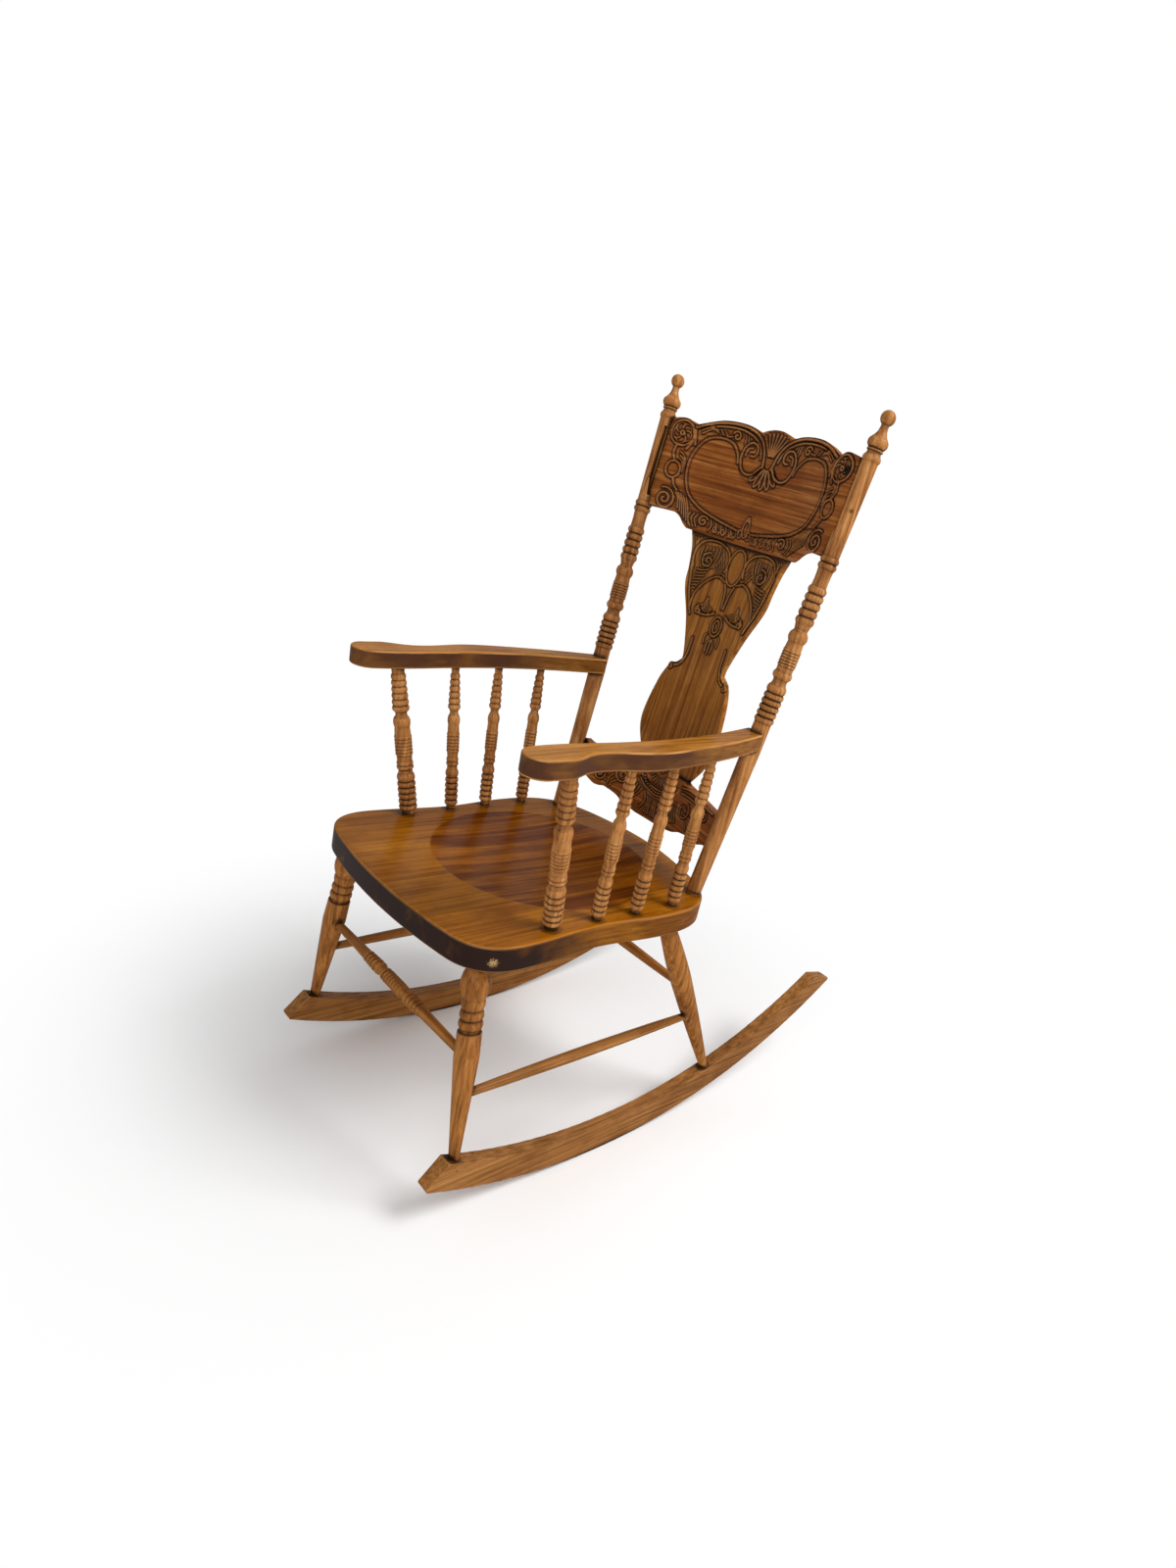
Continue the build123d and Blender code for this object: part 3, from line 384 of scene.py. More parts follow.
def old_finish(tree, colour, finish, flatness, depth, patch, dark_end):
    """A dark finish over a colour on upright faces, full in front of y = dark_end."""
    upright = add(tree, "MapRange", SOFT, {"From Min": UPRIGHT[0], "From Max": UPRIGHT[1]},
                  {"Value": flatness})
    front = add(tree, "MapRange", SOFT,
                {"From Min": dark_end + FINISH_FADES[0], "From Max": dark_end - FINISH_FADES[1],
                 "To Min": FINISH_BEHIND}, {"Value": depth})
    uneven = add(tree, "MapRange", SOFT, {"From Min": 0.34, "From Max": 0.54, "To Min": 0.75},
                 {"Value": patch})
    share = add(tree, "Math", TIMES, links={0: upright.outputs["Result"], 1: front.outputs["Result"]})
    share = add(tree, "Math", TIMES, links={0: share.outputs["Value"], 1: uneven.outputs["Result"]})
    colour = add(tree, "Mix", BLEND, {SECOND: finish}, {"Factor": share.outputs["Value"], FIRST: colour})
    return colour.outputs[MIXED]


print("old finish on faces less level than", UPRIGHT[0])

# %% [markdown]
# ## Hollow and chip of the seat
# The hollow of the seat is a shade darker, in bands along the grain, with a plain line round it
# where polish and dirt have gathered. It is a round dish, so the distance from its middle finds
# it. A chip on the front edge shows bare wood, and the pores make its edge ragged.

# %% Hollow and chip of the seat
SEAT_THICK = 36 * MM
HOLLOW_PLACE = laid(0, 36, 0)
HOLLOW_R = 168 * MM
HOLLOW_EDGE = (1 * MM, 3 * MM)  # outside and inside that circle, where the stain fades
HOLLOW_STAINS = ("B49A68", "EEE0BC")
BAND = 24.0                 # width of the darker and lighter bands in the hollow, millimetres
BAND_LONG = 700.0
BARE = "BE9A66"
CHIP_PLACE = laid(204, -183, -21)
CHIP_R = 5.5 * MM
CHIP_RAGGED = 4.0           # how far the pores push the chip's edge, in radii
CHIP_EDGE = (2.9, 2.7)      # radii between which it begins
CHIP_BARE = 0.8


def stained_hollow(tree, colour, place, parts, offset):
    """Darker and lighter bands over a colour inside the round hollow of the seat's top."""
    flat = add(tree, "Mapping", values={"Scale": (1, 1, 0)}, links={"Vector": place})
    away = add(tree, "VectorMath", {"operation": "DISTANCE"}, {1: (HOLLOW_PLACE.x, HOLLOW_PLACE.y, 0)},
               {0: flat.outputs["Vector"]})
    within = add(tree, "MapRange", SOFT,
                 {"From Min": HOLLOW_R + HOLLOW_EDGE[0], "From Max": HOLLOW_R - HOLLOW_EDGE[1]},
                 {"Value": away.outputs["Value"]})
    top = add(tree, "MapRange", SOFT, {"From Min": HOLLOW_PLACE.z - SEAT_THICK / 2,
                                       "From Max": HOLLOW_PLACE.z - SEAT_THICK / 3},
              {"Value": parts.outputs["Z"]})
    share = add(tree, "Math", TIMES, links={0: within.outputs["Result"], 1: top.outputs["Result"]})
    band = figure(tree, place, BAND, BAND_LONG, Y, offset, 1.0)
    bands = add(tree, "ValToRGB", links={"Fac": band},
                stops=[(0.44, HOLLOW_STAINS[0]), (0.56, HOLLOW_STAINS[1])])
    colour = add(tree, "Mix", STAIN, links={"Factor": share.outputs["Value"], FIRST: colour,
                                            SECOND: bands.outputs["Color"]})
    return colour.outputs[MIXED]


def chipped(tree, colour, place, pore):
    """Bare wood over a colour, in a chip with a ragged edge."""
    away = add(tree, "VectorMath", {"operation": "DISTANCE"}, {1: CHIP_PLACE}, {0: place})
    ragged = add(tree, "Math", {"operation": "MULTIPLY_ADD"}, {1: CHIP_RAGGED * CHIP_R},
                 {0: pore, 2: away.outputs["Value"]})
    share = add(tree, "MapRange", SOFT,
                {"From Min": CHIP_EDGE[0] * CHIP_R, "From Max": CHIP_EDGE[1] * CHIP_R, "To Max": CHIP_BARE},
                {"Value": ragged.outputs["Value"]})
    colour = add(tree, "Mix", BLEND, {SECOND: BARE}, {"Factor": share.outputs["Result"], FIRST: colour})
    return colour.outputs[MIXED]


print("hollow's middle", tuple(round(v, 4) for v in HOLLOW_PLACE))

# %% [markdown]
# ## Arms and seat
# The seat's four boards come from different planks, so each has its own colours, and the arms
# share theirs. All their rims are rounded and rubbed. A rim is neither level nor upright, so how
# level it is, times what it lacks to be level, is greatest there.

# %% Arms and seat
ARM = ("7A4A18", "A46C2A", "BE8238")
BOARDS = [
    ("6A3C08", "90560E", "A66C1E"), ("72420A", "985C14", "AE7222"),
    ("683A08", "8C540E", "A46A1E"), ("724208", "9A5C0E", "B07222"),
]
ARM_FINISH = "4A2C1A"
ARM_FINISH_END = -0.10      # y in metres
ARM_WEAR = 0.8
SEAT_FINISH = "261610"
SEAT_FINISH_END = -0.24
SEAT_WEAR = 0.3


def two_finishes(name, colours, offset, finish, dark_end, wear, seat=False):
    """Varnished board with an old finish on its upright faces and a rubbed rim."""
    material, tree = new_material(name)
    place = add(tree, "TexCoord").outputs["Object"]
    parts = add(tree, "SeparateXYZ", links={"Vector": place})
    shape = add(tree, "NewGeometry")
    normal = add(tree, "SeparateXYZ", links={"Vector": shape.outputs["Normal"]})
    flatness = add(tree, "Math", {"operation": "ABSOLUTE"}, links={0: normal.outputs["Z"]}).outputs["Value"]
    colour, pore, patch = grain(tree, place, Y, colours, offset)
    if seat:
        colour = stained_hollow(tree, colour, place, parts, offset + 3)
    colour = old_finish(tree, colour, finish, flatness, parts.outputs["Y"], patch, dark_end)
    if seat:
        colour = chipped(tree, colour, place, pore)
    square = add(tree, "Math", TIMES, links={0: flatness, 1: flatness})
    slant = add(tree, "Math", {"operation": "SUBTRACT"}, links={0: flatness, 1: square.outputs["Value"]})
    rim = add(tree, "MapRange", SOFT, {"From Min": 0.06, "From Max": 0.2, "To Max": wear},
              {"Value": slant.outputs["Value"]})
    varnish(tree, shade_and_wear(tree, colour, patch, rim=rim.outputs["Result"]), pore, patch)
    return material


for number, side in enumerate(SIDES):
    arm = two_finishes("varnished_arm_" + side, ARM, 11.0 + number, ARM_FINISH, ARM_FINISH_END, ARM_WEAR)
    dress(arm, ["arm_" + side])
for i, colours in enumerate(BOARDS):
    name = "varnished_seat_board_%d" % (i + 1)
    board = two_finishes(name, colours, 17.0 + 2 * i, SEAT_FINISH, SEAT_FINISH_END, SEAT_WEAR, seat=True)
    dress(board, ["seat_board_%d" % (i + 1)])
print("seat boards", len(BOARDS), "arms", len(SIDES))

# %% [markdown]
# ## Old steel nails and screws
# The nails through the rockers and the screws in the posts are plain steel, browned with age.
# Rust is rough and matt, so the roughness is high and the colour mottled.

# %% Old steel nails and screws
RUST_SPOT = 1.2 * MM
RUST = ("1F1A18", "4A3226")
RUST_ROUGH = 0.6
STILL_METAL = 0.8           # the share of the surface that the rust leaves bright


def browned_steel():
    """Steel that has browned in spots."""
    material, tree = new_material("browned_steel")
    place = add(tree, "TexCoord").outputs["Object"]
    spots = add(tree, "TexNoise", values={"Scale": 1 / RUST_SPOT, "Detail": 3.0}, links={"Vector": place})
    colour = add(tree, "ValToRGB", links={"Fac": spots.outputs["Fac"]},
                 stops=[(0.35, RUST[0]), (0.60, RUST[1])])
    shader = add(tree, "BsdfPrincipled", values={"Metallic": STILL_METAL, "Roughness": RUST_ROUGH},
                 links={"Base Color": colour.outputs["Color"]})
    add(tree, "OutputMaterial", links={"Surface": shader.outputs["BSDF"]})
    return material


dress(browned_steel(), ["rocker_nails", "arm_screws"])
print("materials", len(bpy.data.materials))

# %% [markdown]
# ## The back's own coordinates
# The boards of the back are drawn on its slope: x across, s up the back, and n towards the
# sitter, in millimetres. Each board is bent to a cylinder, whose axis lies in front of it and
# leans as the back does.

# %% The back's own coordinates
BACK_ORIGIN = laid(0, 196, 0)
POST_RUN = (35.6, 90.8, 720.3)      # from foot to top a post goes this far outwards, back and up
BACK_LEAN = math.atan2(POST_RUN[1], POST_RUN[2]) - REST_TURN
BOW_R = 395.0
BOW_AXIS = 349.0            # distance of the bow's axis in front of the posts
UP = np.array((0.0, math.sin(BACK_LEAN), math.cos(BACK_LEAN)))
FRONT = np.array((0.0, -math.cos(BACK_LEAN), math.sin(BACK_LEAN)))


def on_back(x, s, radius):
    """Points in metres from x and s on the cylinder of the given radius, in millimetres."""
    n = BOW_AXIS - np.sqrt(radius ** 2 - x ** 2)
    points = np.outer(x, (1.0, 0.0, 0.0)) + np.outer(s, UP) + np.outer(n, FRONT)
    return points * MM + np.array(BACK_ORIGIN)


print("lean of the back", round(math.degrees(BACK_LEAN), 2))

# %% [markdown]
# ## Strokes of carving
# Pressed carving is a hot die's print: round ridges with a groove each side, on a sunk ground.
# A stroke here is a line of points in x and s, drawn in order as a carver would cut it. Most
# strokes are drawn on the half of a board where x is positive, and mirrored to the other half.

# %% Strokes of carving
def curve(points, steps=10):
    """A smooth line through points, by Catmull-Rom."""
    p = np.array([points[0]] + list(points) + [points[-1]], float)
    t = np.linspace(0, 1, steps, endpoint=False)[:, None]
    spans = []
    for a, b, c, d in zip(p, p[1:], p[2:], p[3:]):
        spans.append(0.5 * (2 * b + (c - a) * t + (2 * a - 5 * b + 4 * c - d) * t ** 2
                            + (3 * b - a - 3 * c + d) * t ** 3))
    return np.vstack(spans + [p[-1:]])


def spiral(centre, radius, start, turns, inner=0.15, steps=40):
    """A volute that winds in from an angle in degrees. Negative turns wind clockwise."""
    t = np.linspace(0, 1, steps)
    angle = math.radians(start) + 2 * math.pi * turns * t
    r = radius * (1 - (1 - inner) * t)
    return np.stack((centre[0] + r * np.cos(angle), centre[1] + r * np.sin(angle)), 1)


def ring(centre, wide, high, tilt=0.0, steps=32):
    """A closed oval from its half sizes, tilted by degrees."""
    t = np.linspace(0, 2 * math.pi, steps)
    c, s = math.cos(math.radians(tilt)), math.sin(math.radians(tilt))
    x, y = wide * np.cos(t), high * np.sin(t)
    return np.stack((centre[0] + c * x - s * y, centre[1] + s * x + c * y), 1)


def rays(centre, inner, outer, first, last, count):
    """Straight strokes that fan out from a centre, between two angles in degrees."""
    ways = [np.array((math.cos(a), math.sin(a))) for a in np.radians(np.linspace(first, last, count))]
    return [np.array(centre) + np.outer((inner, outer), way) for way in ways]


def petals(centre, reach, half, first, last, count):
    """Closed drops that fan out from a centre as far as reach, each twice half wide."""
    drops = []
    for angle in np.linspace(first, last, count):
        way = np.array((math.cos(math.radians(angle)), math.sin(math.radians(angle))))
        drops.append(ring(np.array(centre) + way * reach * 0.62, reach * 0.38, half, angle))
    return drops


def feather(first, last, count):
    """Reeds that change by even steps from one curve to another with as many points."""
    a, b = np.array(first, float), np.array(last, float)
    return [curve(a + (b - a) * i / (count - 1)) for i in range(count)]


def both(strokes):
    """The strokes and their mirror images, left for right."""
    return strokes + [stroke * np.array((-1, 1)) for stroke in strokes]


print("points in a turn of a scroll", len(spiral((0, 0), 1, 0, 1)))

# %% [markdown]
# ## Ridges and grooves
# Strokes of one layer merge where they meet, and a later layer lies on those before it. The
# grooves and, less, the ground between close strokes get painted shade, and the ridges' crowns a
# painted highlight with their wear. So each point of a board gets a height for its shape and a
# mark for its painted shade and highlight.

# %% Ridges and grooves
GROOVE_AT = 1.35            # the groove's distance from the stroke's line, in half widths
GROOVE_WIDE = 0.5
GROOVE_DEEP = 0.6           # in heights of the ridge
RIDGE_FOOT = 0.12
GROUND_REACH = 6.0          # how far the painted shade reaches from a stroke, millimetres
# how dark the painted shade on the ground between close strokes is
GROUND_SHADE = 0.3


def distance(x, s, stroke, reach):
    """Each point's distance to a stroke, or reach where it is farther than that."""
    far = np.full(x.shape, reach)
    low, high = stroke.min(0) - reach, stroke.max(0) + reach
    near = (x > low[0]) & (x < high[0]) & (s > low[1]) & (s < high[1])
    px, ps = x[near], s[near]
    best = np.full(px.shape, reach)
    for (ax, ay), (bx, by) in zip(stroke, stroke[1:]):
        dx, dy = bx - ax, by - ay
        square = max(dx * dx + dy * dy, 1e-9)   # a stroke may repeat a point
        t = np.clip(((px - ax) * dx + (ps - ay) * dy) / square, 0, 1)
        best = np.minimum(best, np.hypot(px - ax - t * dx, ps - ay - t * dy))
    far[near] = best
    return far


def pressed(x, s, ground, layers):
    """Height and mark of a pressed surface: a sunk or plain ground, and layers of (strokes, half
    width, height). Each stroke is a round ridge with a narrow groove at both feet. The mark is 1
    in a groove, a little above 0 on the ground between strokes, and -1 on a ridge's crown."""
    height = ground.copy()
    mark = np.zeros(x.shape)
    for strokes, wide, high in layers:
        ridge = np.zeros(x.shape)
        groove = np.zeros(x.shape)
        near = np.zeros(x.shape)
        for stroke in strokes:
            d = distance(x, s, stroke, GROUND_REACH)
            ridge = np.maximum(ridge, np.clip(1 - (d / wide) ** 2, 0, 1))
            groove = np.maximum(groove, np.exp(-((d - GROOVE_AT * wide) / (GROOVE_WIDE * wide)) ** 2))
            near = np.maximum(near, 1 - d / GROUND_REACH)
        on_ridge = ridge > RIDGE_FOOT
        height = np.where(on_ridge, np.maximum(height, ground) + high * ridge,
                          height - GROOVE_DEEP * high * groove)
        between_ridges = np.maximum(mark, np.maximum(groove, GROUND_SHADE * near))
        beside = np.where(mark < 0, np.maximum(mark, 2 * groove - 1), between_ridges)
        mark = np.where(on_ridge, -ridge, beside)
    return height, np.where((ground > 0) & (mark > 0), mark ** 2, mark)


def inside(x, s, loop):
    """True for points inside a closed line."""
    result = np.zeros(x.shape, bool)
    for (ax, ay), (bx, by) in zip(loop, np.roll(loop, -1, axis=0)):
        if ay != by:
            result ^= ((ay > s) != (by > s)) & (x < (bx - ax) * (s - ay) / (by - ay) + ax)
    return result


print("a groove lies", GROOVE_AT, "half widths from the middle of its ridge")

# %% [markdown]
# ## A carved, bowed board
# A grid primitive is the start: its rows and columns are carried onto the board's outline, bent
# to the bow, and pushed in and out by the carving. A coarse grid makes the smooth back, and
# bridging the two rims gives the board its edge. Heights fall away at the rim, so the front
# arris is rounded as a worn one is. The front keeps its mark as an attribute for the painted
# shade and the painted highlight.
#
# The rails' ends turn back, and their front eases away there. That brings the front of the crest
# rail's ends to the middle of the posts. A known fault is that the lower rail's ends already lay
# behind the middle, so they now pass just behind the posts and don't meet them.

# %% A carved, bowed board
ARRIS = 2.2                 # millimetres over which the front edge rounds off
ARRIS_DROP = 1.6
END_BACK = 7.4              # how far a rail's ends turn back
END_LONG = 50.0             # and over how much of its length
EASE = 6.5                  # how much farther its front falls back
EASE_LONG = 25.0
BACK_CELLS = (60, 40)
SMOOTH_BELOW = math.radians(50)


def sheet_of(name, across, up, place):
    """A grid whose vertices are carried to place(u, v), with u and v from -1 to 1."""
    bpy.ops.mesh.primitive_grid_add(x_subdivisions=across, y_subdivisions=up, size=2)
    piece = bpy.context.object
    piece.name = name
    flat = np.zeros(len(piece.data.vertices) * 3)
    piece.data.vertices.foreach_get("co", flat)
    u, v = flat.reshape(-1, 3)[:, 0], flat.reshape(-1, 3)[:, 1]
    piece.data.vertices.foreach_set("co", place(u, v).astype(np.float32).ravel())
    piece.data.update()
    return piece


def carved_board(name, cells, outline, radius, thick, relief, material, end=None):
    """Front, back and edge of a board whose middle is bent to radius. outline(u, v) gives x, s and
    the distance to the rim, and relief(x, s) gives height and mark. A rail gives its half length
    as end, and cells are those of its front, across and up."""
    marks = {}

    def turn(x, long):
        return np.clip((np.abs(x) - end + long) / long, 0, 1) ** 2 if end else 0.0

    def front(u, v):
        x, s, rim = outline(u, v)
        height, marks["carving"] = relief(x, s)
        inner = np.clip(rim / ARRIS, 0, 1)
        shape = END_BACK * turn(x, END_LONG) + EASE * turn(x, EASE_LONG)
        return on_back(x, s, radius - thick / 2 + shape + ARRIS_DROP * (1 - inner) ** 2 - height * inner)

    def back(u, v):
        x, s, _ = outline(u, v)
        return on_back(x, s, radius + thick / 2 + END_BACK * turn(x, END_LONG))

    bpy.ops.object.select_all(action="DESELECT")
    rear = sheet_of(name + "_back", *BACK_CELLS, back)
    face = sheet_of(name, *cells, front)
    # the carving attribute carries the painted shade and the painted highlight to the material
    carving = face.data.attributes.new("carving", "FLOAT", "POINT")
    carving.data.foreach_set("value", marks["carving"].astype(np.float32))
    rear.select_set(True)
    face.select_set(True)
    bpy.context.view_layer.objects.active = face
    bpy.ops.object.join()
    bpy.ops.object.mode_set(mode="EDIT")
    bpy.ops.mesh.select_mode(type="EDGE")
    bpy.ops.mesh.select_all(action="DESELECT")
    bpy.ops.mesh.select_non_manifold()
    bpy.ops.mesh.bridge_edge_loops()
    bpy.ops.mesh.select_all(action="SELECT")
    bpy.ops.mesh.normals_make_consistent(inside=False)
    bpy.ops.object.mode_set(mode="OBJECT")
    bpy.ops.object.shade_smooth_by_angle(angle=SMOOTH_BELOW)
    face.data.materials.clear()
    face.data.materials.append(material)
    triangles = sum(len(polygon.vertices) - 2 for polygon in face.data.polygons)
    print(name, "triangles", triangles)
    return face


print("rails' ends turn back by", END_BACK, "mm")

# %% [markdown]
# ## Wood of the carved boards
# The boards of the back are of the same wood and varnish. Painted shade, painted highlight and
# wear follow the carving's own mark. The grain runs along each board and doesn't change through
# its bow.

# %% Wood of the carved boards
def board_wood(name, axis, colours, offset, spots=()):
    """Varnished wood for a carved board, with round dark spots where it is worn."""
    material, tree = new_material(name)
    place = add(tree, "TexCoord").outputs["Object"]
    colour, pore, patch = grain(tree, place, axis, colours, offset, bowed=True)
    colour = shade_and_wear(tree, colour, patch, carved=True)
    for spot in spots:
        colour = dark_spot(tree, place, colour, spot)
    varnish(tree, colour, pore, patch)
    return material


RAILS = ("562C10", "90501C", "BC8246")
PANEL = ("5C3210", "945C22", "B67E3E")
splat_wood = board_wood("varnished_splat", Z, PANEL, 33.0)
lower_wood = board_wood("varnished_lower_rail", X, RAILS, 35.0)
print("carved woods", splat_wood.name, lower_wood.name)

# %% [markdown]
# ## Crest rail
# The top board holds a plain heart-shaped panel inside a round moulding. A fan rises to the dome
# in the middle between two C scrolls, and a second fan points down. Rosettes fill the upper
# corners, feathered volutes the lower ones, and small curls run below the panel. At the end on
# the sitter's left the finish has a round dark spot.

# %% Crest rail's outline
SPREAD = POST_RUN[0] / math.hypot(POST_RUN[1], POST_RUN[2])    # outwards for each millimetre up
POST_X = 172.5              # the post's middle at the height of the seat
SHAFT_R = 11.6
INTO_POST = 6.0             # how far its end lies past the post's nearer side, measured across
CREST_THICK = 19.0
CREST_LOW = 515.0
CREST_TOP = 691.0
CREST_END = (531.0, 669.0)  # lower and upper corner of its ends
DOME_HALF = 32.0
DOME_RISE = 1.5             # the dome stands this much above the shoulders
NOTCH_DROP = 7.0            # and the notches beside it lie this much below them
EAR = (148.0, 669.5)
END_LEANS = 9               # a high power, so that only the very ends lean

crest_end = POST_X + SPREAD * sum(CREST_END) / 2 - SHAFT_R + INTO_POST
crest_floor = np.vstack((
    [(0, CREST_LOW)],
    curve([(110, CREST_LOW), (118, CREST_LOW + 5), (129, CREST_LOW + 15), (143, CREST_END[0] + 4)]),
    [(crest_end, CREST_END[0])],
))
dome = np.linspace(0, DOME_HALF, 14)
dome_drop = DOME_RISE + NOTCH_DROP
DOME_R = (DOME_HALF ** 2 + dome_drop ** 2) / (2 * dome_drop)
crest_roof = np.vstack((
    np.stack((dome, CREST_TOP + DOME_RISE - DOME_R + np.sqrt(DOME_R ** 2 - dome ** 2)), 1),
    curve([(DOME_HALF, CREST_TOP - NOTCH_DROP), (52, CREST_TOP - 1.5), (75, CREST_TOP),
           (100, CREST_TOP - 2.5), (120, CREST_TOP - 9), (143, CREST_TOP - 19.5)])[1:],
    curve([EAR, (156, EAR[1] + 5), (165, EAR[1] + 6), (176, EAR[1] + 4), (crest_end, CREST_END[1])]),
))


def between_lines(floor, roof, end):
    """The outline of a board that runs from post to post between a lower and an upper line. Its
    ends lean outwards as the posts do."""
    def outline(u, v):
        x = u * end
        low = np.interp(np.abs(x), floor[:, 0], floor[:, 1])
        high = np.interp(np.abs(x), roof[:, 0], roof[:, 1])
        s = low + (v + 1) / 2 * (high - low)
        lean = SPREAD * (s - (floor[-1, 1] + roof[-1, 1]) / 2)
        return x + lean * u ** END_LEANS, s, np.minimum(s - low, high - s)
    return outline


print("crest rail", round(2 * crest_end, 1), "mm wide, dome of radius", round(DOME_R, 1))

# %% Crest rail's carving
CREST_CELLS = (380, 190)
CREST_PANEL = 0.2           # the panel's height and the ground's, millimetres from the board's face
CREST_GROUND = -0.7
WORN_PLACE = (176.0, 650.0)
WORN_DEPTH = 3.0            # millimetres behind the bow's face, because the end turns back
heart = curve([(14, 535), (39, 538), (78, 545), (103, 553), (125, 568), (137, 595), (137, 625), (123, 652),
               (101, 661), (77, 659), (62, 645), (57, 632)])
scroll = curve([(12, 634), (22, 623), (34, 619), (46, 623), (53, 634), (55, 647), (51, 659), (43, 666),
                (33, 665), (27, 657), (30, 648), (38, 647)])
panel = np.vstack((heart, [(46, 616), (34, 609), (14, 604), (0, 602)]))
panel_loop = np.vstack((panel, panel[::-1] * np.array((-1, 1))))


def crest_relief(x, s):
    """Height and mark of the crest rail's carving."""
    mouldings = both([
        heart, scroll,
        curve([(143, 666), (120, 678), (95, 685), (68, 687), (44, 683), (27, 674), (17, 662), (12, 648),
               (9, 634)]),
    ])
    frames = both([
        curve([(112, 676), (92, 680), (68, 681), (47, 677), (32, 669), (22, 658), (18, 646)]),
        ring((163, 652), 20, 19), ring((163, 652), 3, 3), ring((161, 595), 12, 13),
        spiral((160, 548), 18, 60, 2.0, 0.1), spiral((73, 670), 8, 20, 1.3), spiral((84, 533), 9, 150, -1.4),
        curve([(145, 668), (142, 655), (138, 640)]), curve([(150, 630), (143, 645), (147, 662)]),
        curve([(166, 634), (168, 620), (162, 608)]), curve([(156, 582), (152, 573), (144, 566)]),
        curve([(48, 646), (46, 656), (38, 659)]),
    ])
    swirls = [curve([(163 + far * math.cos(a + turn), 652 + far * math.sin(a + turn))
                     for far, turn in ((5, 0), (10, 0.15), (15, 0.55), (17, 1.1), (14, 1.6))])
              for a in np.radians(range(0, 360, 72))]
    reeds = feather([(151, 566), (139, 556), (134, 540)], [(125, 560), (117, 545), (108, 522)], 6)
    reeds += feather([(157, 624), (149, 619), (143, 608)], [(154, 608), (149, 604), (145, 594)], 4)
    reeds += feather([(106, 668), (118, 670), (132, 660)], [(110, 675), (124, 674), (136, 668)], 3)
    reeds += feather([(95, 672), (88, 666), (80, 668)], [(104, 674), (96, 666), (86, 665)], 2)
    reeds += feather([(64, 683), (57, 674), (55, 660)], [(52, 682), (48, 675), (46, 669)], 3)
    curls = [spiral((middle, 527), 5.5, 200, 1.1, 0.3) for middle in (26, 42, 58)]
    curls += feather([(70, 522), (67, 530), (71, 540)], [(20, 521), (16, 528), (20, 536)], 6)
    curls += feather([(96, 541), (100, 532), (94, 522)], [(110, 541), (112, 532), (104, 520)], 3)
    fans = rays((0, 646), 8, 41, 57, 123, 7) + petals((0, 640), 38, 4.2, 228, 312, 5)
    centre = [ring((0, 541), 6, 14), ring((-9, 531), 4, 6), ring((9, 531), 4, 6), ring((0, 555), 3, 3)]
    ground = np.where(inside(x, s, panel_loop), CREST_PANEL, CREST_GROUND)
    return pressed(x, s, ground, [(both(swirls + reeds + curls), 1.5, 1.2), (fans, 1.9, 1.4),
                                  (frames, 1.9, 1.4), (mouldings, 2.1, 1.5), (centre, 1.6, 1.2)])


worn_r = BOW_R - CREST_THICK / 2 + WORN_DEPTH
worn_place = on_back(np.array(WORN_PLACE[:1]), np.array(WORN_PLACE[1:]), worn_r)[0]
worn_spot = (tuple(worn_place), 8.4 * MM, 5.6 * MM, 1.0)
crest_wood = board_wood("varnished_crest", X, RAILS, 31.0, [worn_spot])
crest = carved_board("crest_rail_carved", CREST_CELLS, between_lines(crest_floor, crest_roof, crest_end),
                     BOW_R, CREST_THICK, crest_relief, crest_wood, crest_end)
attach(crest, "root")
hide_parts("crest_rail")

# %% [markdown]
# ## Splat
# The thin upright board is a vase with small scroll ears above its belly. Its upper two fifths
# are carved: an oval between two feathered scrolls, two tear-shaped fields below, and a drop. A
# single line runs down each side of the waist. Each row of the grid is as wide as the vase is
# at that height.

# %% Splat's outline
SPLAT_THICK = 9.0
SPLAT_SET_BACK = 3.0
SPLAT_LOW = 138.0
SPLAT_HIDDEN = 3.0          # its ends run this far into the rails
TOP_W, WAIST_W, BELLY_W, BOTTOM_W = 105.0, 47.0, 86.0, 54.0     # half widths
WAIST_S, BELLY_S = 326.0, 208.0
splat_side = np.vstack((
    curve([(BOTTOM_W - 2, SPLAT_LOW - SPLAT_HIDDEN), (BOTTOM_W, SPLAT_LOW), (BELLY_W - 10, BELLY_S - 38),
           (BELLY_W, BELLY_S), (BELLY_W - 8, BELLY_S + 62), (WAIST_W + 21, WAIST_S - 27)]),
    curve([(WAIST_W + 21, WAIST_S - 26.5), (WAIST_W + 19, WAIST_S - 20), (WAIST_W + 11, WAIST_S - 18)]),
    curve([(WAIST_W + 10, WAIST_S - 17.8), (WAIST_W + 3, WAIST_S - 12), (WAIST_W, WAIST_S),
           (WAIST_W + 17, CREST_LOW - 135), (TOP_W - 19, CREST_LOW - 85), (TOP_W - 15, CREST_LOW - 55),
           (TOP_W - 9, CREST_LOW - 24), (TOP_W, CREST_LOW), (TOP_W, CREST_LOW + SPLAT_HIDDEN)]),
))


def splat_outline(u, v):
    """Place on the splat and distance to its nearer side."""
    low, high = splat_side[0, 1], splat_side[-1, 1]
    s = low + (v + 1) / 2 * (high - low)
    half = np.interp(s, splat_side[:, 1], splat_side[:, 0])
    return u * half, s, (1 - np.abs(u)) * half


print("splat", splat_side[-1, 1] - splat_side[0, 1], "mm long with its hidden ends")

# %% Splat's carving
SPLAT_CELLS = (190, 360)
FIELD_HEIGHT = 0.15
SPLAT_GROUND = -0.6
GROUND_LOW = 366.0          # the ground is sunk above this height
GROUND_FADE = 12.0          # and has its full depth this much higher
field = curve([(12, 455), (26, 460), (39, 455), (52, 443), (63, 425), (65, 406), (60, 390)])
arch = curve([(82, 462), (87, 478), (84, 495), (73, 507), (56, 511), (38, 509), (23, 500), (17, 485),
              (20, 469)])


